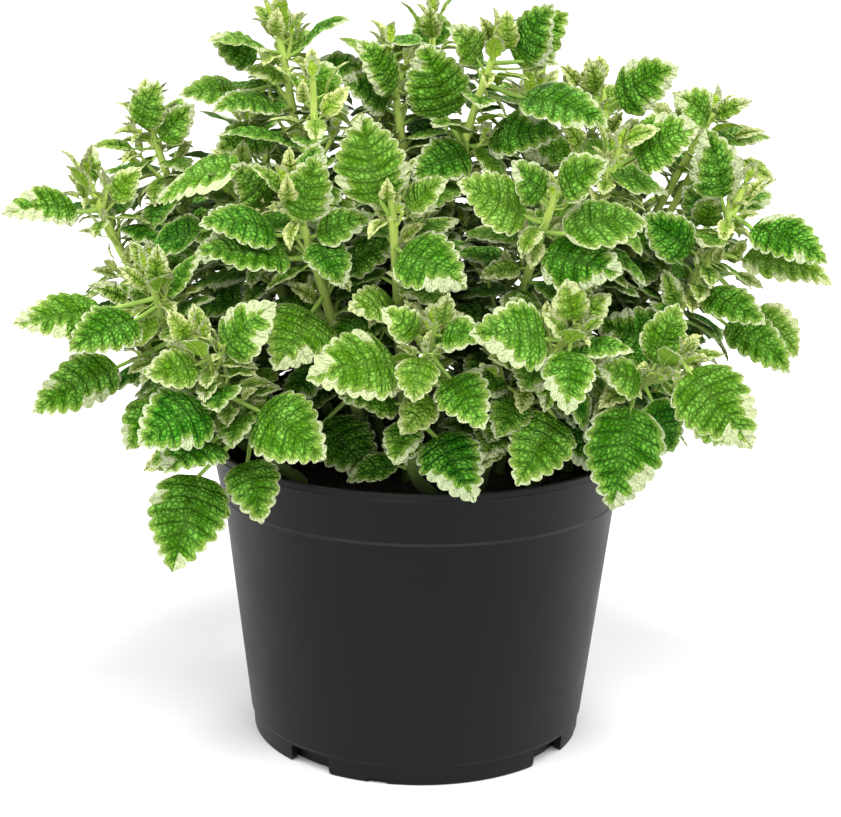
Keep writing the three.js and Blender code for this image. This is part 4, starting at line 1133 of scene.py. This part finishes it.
def put(tree, kind, sockets=(), **settings):
    """Adds a node. Sockets are given by name or number, as a value or as another node's output."""
    made = tree.nodes.new("ShaderNode" + kind)
    for key, value in settings.items():
        setattr(made, key, value)
    for key, value in dict(sockets).items():
        socket = made.inputs[key]
        if isinstance(value, bpy.types.NodeSocket):
            tree.links.new(value, socket)
        else:
            socket.default_value = (*value, 1) if socket.type == "RGBA" else value
    return made


def step_between(tree, value, low, high, to_low=0.0, to_high=1.0):
    """Smoothly from one number to another while a value runs from low to high."""
    sockets = {"Value": value, "From Min": low, "From Max": high, "To Min": to_low, "To Max": to_high}
    return put(tree, "MapRange", sockets, interpolation_type="SMOOTHSTEP").outputs["Result"]


def grey(value):
    return (value, value, value)


class Finish:
    """A new material, with short names for the nodes that make up its look."""

    def __init__(self, name):
        self.material = bpy.data.materials.new(name)
        self.material.use_nodes = True
        self.tree = self.material.node_tree
        self.shader = self.tree.nodes["Principled BSDF"]

    def put(self, kind, sockets=(), **settings):
        return put(self.tree, kind, sockets, **settings)

    def calc(self, operation, a, b=0.0):
        return self.put("Math", {0: a, 1: b}, operation=operation).outputs[0]

    def plus(self, a, b):
        return self.calc("ADD", a, b)

    def less(self, a, b):
        return self.calc("SUBTRACT", a, b)

    def times(self, a, b):
        return self.calc("MULTIPLY", a, b)

    def most(self, a, b):
        return self.calc("MAXIMUM", a, b)

    def size(self, a):
        return self.calc("ABSOLUTE", a)

    def step(self, value, low, high, to_low=0.0, to_high=1.0):
        return step_between(self.tree, value, low, high, to_low, to_high)

    def blend(self, share, first, second):
        return self.put("Mix", {0: share, 6: first, 7: second}, data_type="RGBA").outputs[2]

    def shaded(self, colour, painted_light_and_tone, darkest):
        """Painted shade: a colour dimmed where a leaf sits deep in the plant."""
        shade = self.blend(painted_light_and_tone, grey(darkest), grey(1.0))
        sockets = {0: 1.0, 6: colour, 7: shade}
        return self.put("Mix", sockets, data_type="RGBA", blend_type="MULTIPLY").outputs[2]

    def speckle(self, place, scale, detail=3.0, roughness=0.55, flat=False):
        """Soft noise about 0.5, at a number of spots to the unit."""
        sockets = {"Vector": place, "Scale": scale, "Detail": detail, "Roughness": roughness}
        return self.put("TexNoise", sockets, noise_dimensions="2D" if flat else "3D").outputs["Fac"]

    def cells(self, place, scale, randomness=1.0):
        """Distance from the edges of small uneven cells."""
        sockets = {"Vector": place, "Scale": scale, "Randomness": randomness}
        made = self.put("TexVoronoi", sockets, voronoi_dimensions="2D", feature="DISTANCE_TO_EDGE")
        return made.outputs["Distance"]

    def place(self):
        return self.put("TexCoord").outputs["Object"]

    def parts(self, vector):
        return self.put("SeparateXYZ", {0: vector}).outputs

    def reads(self, label):
        """The three numbers of one of the mesh's own attributes."""
        read = self.put("Attribute", attribute_name=label, attribute_type="GEOMETRY")
        return self.parts(read.outputs["Vector"])

    def net(self):
        """The leaf laid flat, in millimetres."""
        return self.put("UVMap", uv_map="net").outputs[0]

    def pushed_about(self, flat, scale, push):
        """Flat leaf coordinates moved about a little, so that what is drawn on them is uneven."""
        clouds = self.put("TexNoise", {"Vector": flat, "Scale": scale, "Detail": 2.0}, noise_dimensions="2D")
        sockets = {0: clouds.outputs["Color"], 1: (push, push, push)}
        moved = self.put("VectorMath", sockets, operation="MULTIPLY").outputs[0]
        return self.put("VectorMath", {0: flat, 1: moved}, operation="ADD").outputs[0]

    def side_veins(self, phase, flat, narrow, wide):
        """Lines where the phase is whole: the veins that run from the midrib to the teeth."""
        wobble = self.times(self.less(self.speckle(flat, 0.35, 2.0, flat=True), 0.5), 0.3)
        turn = self.calc("FRACT", self.plus(self.plus(phase, wobble), 0.5))
        return self.step(self.size(self.less(turn, 0.5)), narrow, wide, 1.0, 0.0)

    def cream_depth(self, cream, place):
        """How deep a spot lies in the cream, with a ragged border."""
        jag = self.less(self.speckle(place, 0.9, 2.0, flat=True), 0.5)
        return self.plus(cream, self.times(jag, 1.6))

    def emboss(self, height, distance, strength):
        bump = self.put("Bump", {"Height": height, "Distance": distance, "Strength": strength})
        self.tree.links.new(bump.outputs["Normal"], self.shader.inputs["Normal"])

    def coat(self, colour, roughness, specular=None):
        """Gives the surface its colour, and how rough and how glossy it is."""
        self.tree.links.new(colour, self.shader.inputs["Base Color"])
        if isinstance(roughness, float):
            self.shader.inputs["Roughness"].default_value = roughness
        else:
            self.tree.links.new(roughness, self.shader.inputs["Roughness"])
        if specular is not None:
            self.shader.inputs["Specular IOR Level"].default_value = specular


def moulded_plastic():
    """Black nursery-pot plastic: satin, faintly grained and dusty, with painted highlight lines on its
    edges.
    """
    skin = Finish("black_moulded_plastic")
    place = skin.place()
    clouds = skin.speckle(place, 26.0, 4.0)
    dust = skin.step(skin.speckle(place, 900.0, 2.0), 0.66, 0.8)
    colour = skin.blend(clouds, (0.0027, 0.0027, 0.0030), (0.0050, 0.0050, 0.0054))
    colour = skin.blend(skin.times(dust, 0.04), colour, grey(0.12))
    height = skin.parts(place)[2]
    # Painted highlights: thin lighter bands of colour along the band's bead, the lip's foot and the rim top.
    for edge, reach, highlight_grey in PAINTED_HIGHLIGHT_LINES:
        painted_highlight = skin.step(skin.size(skin.less(height, edge * MM)), 0.1 * MM, reach * MM, 1.0, 0.0)
        painted_highlight = skin.times(painted_highlight, skin.step(clouds, 0.3, 0.7, 0.5, 1.0))
        colour = skin.blend(painted_highlight, colour, grey(highlight_grey))
    skin.coat(colour, skin.step(clouds, 0.3, 0.7, 0.4, 0.5), 0.16)
    skin.emboss(skin.speckle(place, 2600.0, 2.0), 0.00005, 0.35)
    return skin.material


def damp_soil():
    earth = Finish("damp_potting_soil")
    place = earth.place()
    coarse = earth.speckle(place, 260.0, 5.0, 0.7)
    fibres = earth.speckle(place, 900.0, 4.0, 0.7)
    colour = earth.blend(coarse, (0.007, 0.004, 0.0025), (0.035, 0.021, 0.012))
    colour = earth.blend(earth.step(fibres, 0.62, 0.72, 0.0, 0.5), colour, (0.09, 0.055, 0.03))
    earth.coat(colour, 0.95)
    earth.emboss(earth.plus(coarse, fibres), 0.0012, 0.9)
    return earth.material


def leaf_upper():
    """A quilted green leaf: puffs between a net of sunken veins, cream teeth and a thin pale edge."""
    leaf = Finish("mint_leaf_upper")
    out, phase, cream = leaf.reads("blade")
    painted_light_and_tone, pale, margin = leaf.reads("tone")
    flat = leaf.net()
    warped = leaf.pushed_about(flat, 0.55, 1.0)
    net, fine = leaf.cells(warped, 0.60, 0.85), leaf.cells(warped, 1.4)
    side_vein = leaf.side_veins(phase, flat, 0.02, 0.15)
    midrib = leaf.step(leaf.size(out), 0.012, 0.05, 1.0, 0.0)
    beside_rib = leaf.step(leaf.size(out), 0.03, 0.16, 1.0, 0.0)
    line = leaf.step(net, 0.0, 0.29, 1.0, 0.0)
    line = leaf.most(line, leaf.times(leaf.step(fine, 0.0, 0.16, 1.0, 0.0), 0.3))
    line = leaf.most(leaf.most(line, side_vein), leaf.times(beside_rib, 0.7))

    # Greens: deep in the sunken veins, where painted groove shade darkens the veins' own green, light on the
    # puffs, yellower in young leaves.
    patches = leaf.step(leaf.speckle(flat, 0.14, 2.0, flat=True), 0.3, 0.7)
    green = leaf.blend(patches, leaf.blend(pale, *DEEP_GREENS), leaf.blend(pale, *LIGHT_GREENS))
    green = leaf.blend(leaf.times(line, 0.88), green, leaf.blend(pale, *GROOVE_SHADE_AND_VEIN_GREENS))
    green = leaf.blend(leaf.times(midrib, 0.4), green, leaf.blend(pale, *RIB_GREENS))
    base_glow = leaf.times(leaf.step(phase, 0.0, 1.1, 1.0, 0.0), 0.35)
    green = leaf.blend(base_glow, green, (0.16, 0.36, 0.02))

    # Cream: whole teeth of it in places, and a thin pale edge all round.
    depth = leaf.cream_depth(cream, warped)
    mask = leaf.step(depth, -0.1, 0.12)
    rim = leaf.step(margin, 0.16, 0.42, 0.85, 0.0)
    green = leaf.blend(leaf.step(depth, -2.4, 0.1, 0.0, 0.8), green, leaf.blend(pale, *HALO_GREENS))
    # Painted groove shade: the cream is darkened a little along the sunken vein net.
    cream_colour = leaf.blend(leaf.times(line, 0.12), leaf.blend(pale, *CREAMS), (0.36, 0.48, 0.16))
    # Painted shade: green and cream are dimmed on leaves that sit deep in the plant.
    green, cream_colour = leaf.shaded(green, painted_light_and_tone, 0.20), leaf.shaded(cream_colour, painted_light_and_tone, 0.36)
    colour = leaf.blend(leaf.most(mask, rim), green, cream_colour)
    leaf.coat(colour, leaf.step(line, 0.0, 1.0, 0.4, 0.65), 0.07)

    height = leaf.plus(leaf.step(net, 0.0, 0.42), leaf.times(leaf.step(fine, 0.0, 0.3), 0.3))
    height = leaf.less(leaf.less(height, leaf.times(side_vein, 0.9)), leaf.times(beside_rib, 0.5))
    leaf.emboss(leaf.times(height, leaf.step(mask, 0.0, 1.0, 1.0, 0.35)), 0.0015, 1.0)
    return leaf.material


def leaf_under():
    """The leaf's paler, softly downy under face, with raised veins."""
    leaf = Finish("mint_leaf_under")
    _, phase, cream = leaf.reads("blade")
    painted_light_and_tone, pale, margin = leaf.reads("tone")
    flat = leaf.net()
    net_line = leaf.step(leaf.cells(flat, 0.6), 0.0, 0.14, 1.0, 0.0)
    veins = leaf.most(leaf.times(net_line, 0.6), leaf.side_veins(phase, flat, 0.02, 0.1))
    green, vein_green = leaf.blend(pale, *UNDER_GREENS), leaf.blend(pale, *UNDER_VEINS)
    green = leaf.blend(leaf.times(veins, 0.6), green, vein_green)
    mask = leaf.step(leaf.cream_depth(cream, flat), -0.2, 0.2)
    mask = leaf.most(mask, leaf.step(margin, 0.1, 0.5, 0.8, 0.0))
    # Painted shade: the under face is dimmed on leaves deep in the plant.
    leaf.coat(leaf.shaded(leaf.blend(mask, green, (0.50, 0.56, 0.28)), painted_light_and_tone, 0.26), 0.7, 0.12)
    leaf.emboss(veins, 0.0005, 0.9)
    return leaf.material


def stalk_skin():
    stalk = Finish("leaf_stalk_skin")
    painted_light_and_tone, pale, _ = stalk.reads("tone")
    green = stalk.blend(stalk.speckle(stalk.place(), 500.0), (0.18, 0.36, 0.04), (0.36, 0.54, 0.11))
    green = stalk.blend(stalk.times(pale, 0.6), green, (0.52, 0.64, 0.14))
    # Painted shade: stalks are dimmed on leaves deep in the plant.
    stalk.coat(stalk.shaded(green, painted_light_and_tone, 0.35), 0.55, 0.2)
    return stalk.material


def stem_skin():
    """Square downy stems: yellow-green at the tips, much darker near the soil."""
    stem = Finish("mint_stem_skin")
    place = stem.place()
    up = stem.step(stem.parts(place)[2], 0.115, 0.2)
    streaks = stem.put("Mapping", {"Vector": place, "Scale": (1.0, 1.0, 0.12)}).outputs[0]
    fibre = stem.speckle(streaks, 1500.0, 3.0)
    low = stem.blend(fibre, (0.035, 0.075, 0.010), (0.10, 0.16, 0.025))
    high = stem.blend(fibre, (0.32, 0.48, 0.05), (0.56, 0.68, 0.17))
    stem.coat(stem.blend(up, low, high), 0.6, 0.3)
    stem.shader.inputs["Sheen Weight"].default_value = 0.1
    stem.shader.inputs["Sheen Roughness"].default_value = 0.4
    stem.emboss(fibre, 0.0002, 0.5)
    return stem.material


def stem_down():
    down = Finish("stem_down")
    down.coat(down.blend(down.speckle(down.place(), 700.0), (0.55, 0.62, 0.36), (0.78, 0.82, 0.62)), 0.6)
    return down.material


# ---------------------------------------------------------------- the pot and its soil

def pick(*pieces):
    """Selects these pieces and nothing else."""
    bpy.ops.object.select_all(action="DESELECT")
    for piece in pieces:
        piece.select_set(True)
    bpy.context.view_layer.objects.active = pieces[0]


def settle(piece):
    """Puts a piece's place into its mesh, so that its object sits at the origin."""
    pick(piece)
    bpy.ops.object.transform_apply(location=True, rotation=True, scale=True)
    return piece


def shape_faces():
    """Begins a shape's edit with all of it selected."""
    bpy.ops.object.mode_set(mode="EDIT")
    bpy.ops.mesh.select_all(action="SELECT")


def face_outwards():
    bpy.ops.mesh.select_all(action="SELECT")
    bpy.ops.mesh.normals_make_consistent(inside=False)
    bpy.ops.object.mode_set(mode="OBJECT")


def round_shell(name, rings, sides):
    """A closed round body, drawn from its first ring by extruding and scaling one ring at a time."""
    radius, z = rings[0]
    bpy.ops.mesh.primitive_circle_add(
        vertices=sides, radius=radius * MM, location=(0, 0, z * MM), fill_type="NOTHING")
    piece = bpy.context.active_object
    piece.name = piece.data.name = name
    settle(piece)
    shape_faces()
    bpy.ops.mesh.edge_face_add()
    bpy.ops.mesh.flip_normals()
    bpy.ops.mesh.select_mode(type="EDGE")
    for next_radius, next_z in rings[1:]:
        bpy.ops.mesh.extrude_edges_move(TRANSFORM_OT_translate={"value": (0, 0, (next_z - z) * MM)})
        grow = next_radius / radius
        bpy.ops.transform.resize(value=(grow, grow, 1), center_override=(0, 0, 0))
        radius, z = next_radius, next_z
    bpy.ops.mesh.edge_face_add()
    face_outwards()
    return piece


def rounded(points, corner, radius):
    """A profile with one of its corners rounded."""
    before, here, after = (np.array(points[corner + k], float) for k in (-1, 0, 1))
    start = here + unit(before - here) * radius
    end = here + unit(after - here) * radius
    arc = [tuple(p) for p in curve_points((*start, 0), (*here, 0), (*end, 0), CORNER_STEPS)[:, :2]]
    return points[:corner] + arc + points[corner + 1:]


def pot_rings():
    """The pot's profile from the middle of its underside, out, up, over the lip and down inside."""
    lip_foot = POT_HEIGHT - LIP_HEIGHT
    foot_inside = FOOT_RADIUS - FOOT_WIDTH
    profile = [  # radius, height, and how far the corner is rounded
        (INNERMOST, FLOOR_UNDER, 0),
        (RING_INNER, FLOOR_UNDER, 0.5),
        (RING_INNER, RING_FOOT, 0.5),
        (RING_OUTER, RING_FOOT, 0.5),
        (RING_OUTER, FLOOR_UNDER, 0.5),
        (foot_inside, FLOOR_UNDER, 0.5),
        (foot_inside, 0.0, 0.4),
        (FOOT_RADIUS, 0.0, 0.9),
        (BODY_FOOT_RADIUS - 0.6, BODY_FOOT - 0.7, 0.42),
        (BODY_FOOT_RADIUS, BODY_FOOT, 0.42),
        (BODY_TOP_RADIUS, BAND_FOOT - 0.6, 0.25),
        (BAND_FOOT_RADIUS + 0.5, BAND_FOOT - 0.1, 0.25),
        (BAND_FOOT_RADIUS + 0.05, BAND_FOOT + 0.75, 0.25),
        (BAND_TOP_RADIUS, lip_foot, 0.2),
        (RIM_RADIUS, lip_foot + 0.25, 0.2),
        (RIM_RADIUS - 0.35, lip_foot + 0.8, 0.2),
        (RIM_RADIUS - 0.3, POT_HEIGHT, 0.8),
        (RIM_RADIUS - 2.3, POT_HEIGHT, 0.8),
        (float(inner_radius(lip_foot)), lip_foot - 0.4, 1.0),
        (float(inner_radius(BAND_FOOT)), BAND_FOOT, 1.2),
        (float(inner_radius(BODY_FOOT)), BODY_FOOT + 2, 0.8),
        (float(inner_radius(BODY_FOOT)) - 1.5, FLOOR_TOP, 0.8),
        (INNERMOST, FLOOR_TOP, 0),
    ]
    points = [(radius, z) for radius, z, _ in profile]
    for corner in range(len(profile) - 2, 0, -1):
        points = rounded(points, corner, profile[corner][2])
    return points


def foot_cutter(width, height, corner, flare, inner, azimuth):
    """A block that cuts into the pot's foot: its top corners rounded, its sides flared at the floor."""
    half = width / 2
    side = curve_points((half + flare, 0, 0), (half, 0, 0), (half, flare * 1.2, 0), 5)[:, :2]
    top = curve_points((half, height - corner, 0), (half, height, 0), (half - corner, height, 0), 4)[:, :2]
    right = np.vstack([[(half + flare, -1.0)], side, top])
    outline = np.vstack([right, right[::-1] * (-1, 1)])
    data = bpy.data.meshes.new("foot_cutter")
    data.from_pydata([(x * MM, -inner * MM, z * MM) for x, z in outline], [], [range(len(outline))])
    cutter = settle(in_scene("foot_cutter", data))
    shape_faces()
    bpy.ops.mesh.extrude_region_move(TRANSFORM_OT_translate={"value": (0, -CUTTER_DEPTH * MM, 0)})
    face_outwards()
    cutter.rotation_euler = (0, 0, math.radians(azimuth))
    return settle(cutter)


def drain_cutter(azimuth):
    turn = math.radians(azimuth)
    middle = (FLOOR_UNDER + FLOOR_TOP) / 2
    place = (DRAIN_RING * math.cos(turn) * MM, DRAIN_RING * math.sin(turn) * MM, middle * MM)
    bpy.ops.mesh.primitive_cylinder_add(vertices=40, radius=DRAIN_RADIUS * MM, depth=8 * MM, location=place)
    return settle(bpy.context.active_object)


def nursery_pot():
    pot = round_shell("nursery_pot_shell", pot_rings(), POT_SIDES)
    cutters = []
    for i in range(NOTCH_COUNT):
        azimuth = FIRST_NOTCH + i * 360 / NOTCH_COUNT
        cutters.append(foot_cutter(NOTCH_WIDTH, NOTCH_TOP, 0.9, 1.8, NOTCH_INNER, azimuth))
        cutters.append(foot_cutter(SLOT_WIDTH, SLOT_HEIGHT, 0.3, 0.5, SLOT_INNER, azimuth + SLOT_FROM_NOTCH))
    cutters += [drain_cutter(i * 360 / DRAIN_COUNT) for i in range(DRAIN_COUNT)]
    pick(*cutters)
    bpy.ops.object.join()
    pick(pot)
    cut = pot.modifiers.new("feet_and_drains", "BOOLEAN")
    cut.object, cut.operation, cut.solver = cutters[0], "DIFFERENCE", "EXACT"
    bpy.ops.object.modifier_apply(modifier=cut.name)
    bpy.data.objects.remove(cutters[0])
    pot.data.materials.append(moulded_plastic())
    pick(pot)
    bpy.ops.object.shade_smooth_by_angle(angle=math.radians(38))
    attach(pot, "root")
    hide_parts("pot")


def soil_height(x, y):
    """The soil's crumbly surface, in millimetres."""
    waves = math.sin(0.21 * x + 1) * math.cos(0.17 * y) + 0.6 * math.sin(0.43 * x - 0.31 * y)
    crumbs = noise.fractal(Vector((x * 0.22, y * 0.22, 0.7)), 1.0, 2.0, 5)
    return SOIL_TOP + 0.9 * waves + 1.3 * crumbs


def root_ball(earth):
    floor = FLOOR_TOP + SOIL_GAP
    rings = [(10.0, floor), (float(inner_radius(BODY_FOOT)) - 2, floor)]
    for z in (BODY_FOOT + 2.5, 35, 62, BAND_FOOT, SOIL_TOP - 1.5):
        rings.append((float(inner_radius(z)) - SOIL_GAP - 0.1, z))
    edge = rings[-1][0]
    rings += [(edge * share, SOIL_TOP) for share in np.linspace(0.985, 0.02, 42)]
    soil = round_shell("potting_soil_body", rings, 120)
    for point in soil.data.vertices:
        if point.co.z > (SOIL_TOP - 0.5) * MM:
            point.co.z = soil_height(point.co.x / MM, point.co.y / MM) * MM
    soil.data.materials.append(earth)
    bpy.ops.object.shade_smooth()
    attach(soil, "root")
    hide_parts("potting_soil")


def soil_crumbs(earth):
    """Loose crumbs and bark chips on the soil, each a squashed and roughened ball."""
    bpy.ops.mesh.primitive_ico_sphere_add(subdivisions=1, radius=1.0)
    ball = bpy.context.active_object
    corners = np.array([v.co for v in ball.data.vertices])
    faces = [tuple(p.vertices) for p in ball.data.polygons]
    bpy.data.objects.remove(ball)
    dice = Dice(CRUMB_SEED)
    weave = Weave()
    for _ in range(CRUMB_COUNT):
        turn, reach = dice.between(0, 2 * math.pi), CRUMB_REACH * math.sqrt(dice())
        x, y = reach * math.cos(turn), reach * math.sin(turn)
        size = dice.between(0.5, 2.1) * (1.6 if dice() < 0.12 else 1.0)
        squash = np.array((1.0, dice.between(0.45, 0.9), dice.between(0.35, 0.7)))
        rough = np.array([[1 + dice.between(-0.22, 0.22)] for _ in corners])
        spin = np.array(Euler([dice.between(0, 6.28) for _ in range(3)]).to_matrix())
        points = (corners * rough * squash * size) @ spin.T
        weave.add(points + (x, y, soil_height(x, y) + size * 0.15), faces, 0)
    crumbs = weave.mesh("potting_soil_crumbs")
    crumbs.data.materials.append(earth)
    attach(crumbs, "root")


# ---------------------------------------------------------------- floor, light and camera

def studio():
    bpy.ops.mesh.primitive_plane_add(size=60, location=(0, 24.0, 0))
    floor = bpy.context.active_object
    floor.name = floor.data.name = "studio_floor"
    settle(floor)
    paint = Finish("pale_floor")
    away = paint.put("VectorMath", {0: paint.place()}, operation="LENGTH").outputs["Value"]
    # Painted light and shade in the floor's colour: lighter next to the pot to lift its shadow, darker in a
    # ring about 0.15 m out, pale again far away.
    tone = paint.blend(paint.step(away, 0.075, 0.14), grey(0.78), grey(0.60))
    tone = paint.blend(paint.step(away, 0.15, 0.4), tone, grey(0.84))
    paint.coat(tone, 0.9)
    floor.data.materials.append(paint.material)

    world = bpy.data.worlds.new("studio_air")
    bpy.context.scene.world = world
    world.use_nodes = True
    air = world.node_tree
    towards = put(air, "TexCoord").outputs["Generated"]
    facing = put(air, "VectorMath", {0: towards, 1: SKY_BRIGHTEST}, operation="DOT_PRODUCT").outputs["Value"]
    glow = step_between(air, facing, -0.1, 0.95, 0.34, 2.1)
    air.links.new(glow, air.nodes["Background"].inputs["Strength"])
    air.nodes["Background"].inputs["Color"].default_value = (1, 1, 1, 1)

    def lamp(kind, name, place, aim, power):
        data = bpy.data.lights.new(name, kind)
        data.energy = power
        holder = in_scene(name, data)
        holder.location = place
        holder.rotation_euler = (Vector(aim) - Vector(place)).to_track_quat("-Z", "Y").to_euler()
        return data

    key = lamp("SUN", "key_above_front", (0.05, -0.65, 1.3), (0, 0, 0), 1.85)
    key.angle = math.radians(24)
    for name, place, aim, size, power in SOFTBOXES:
        box = lamp("AREA", name, place, aim, power)
        box.shape = "RECTANGLE"
        box.size, box.size_y = size


def photo_camera():
    data = bpy.data.cameras.new("photo_camera")
    data.sensor_width = SENSOR
    data.lens = SENSOR * FOCAL_PIXELS / PICTURE[0]
    camera = in_scene("photo_camera", data)
    aim = Matrix.Rotation(math.radians(90 - PITCH), 4, "X") @ Matrix.Rotation(math.radians(ROLL), 4, "Z")
    camera.location = Vector(EYE) * MM
    camera.rotation_euler = aim.to_euler()
    bpy.context.scene.camera = camera


# ---------------------------------------------------------------- assembly

def foliage():
    plant = grow_plant()
    main_stems = list(plant.stems)
    fill_plant(plant)
    finishes = [leaf_upper(), leaf_under(), stalk_skin(), stem_skin(), stem_down()]
    dice = Dice(BLADE_SEED)
    for stem in main_stems:
        piece = leafy_stem_piece(stem, dice)
        for material in finishes:
            piece.data.materials.append(material)
        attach(piece, "root")
        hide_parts("leafy_stem_" + stem.name)


photo_camera()
studio()
nursery_pot()
potting_mix = damp_soil()
root_ball(potting_mix)
soil_crumbs(potting_mix)
foliage()
bpy.context.scene.view_settings.view_transform = "Standard"
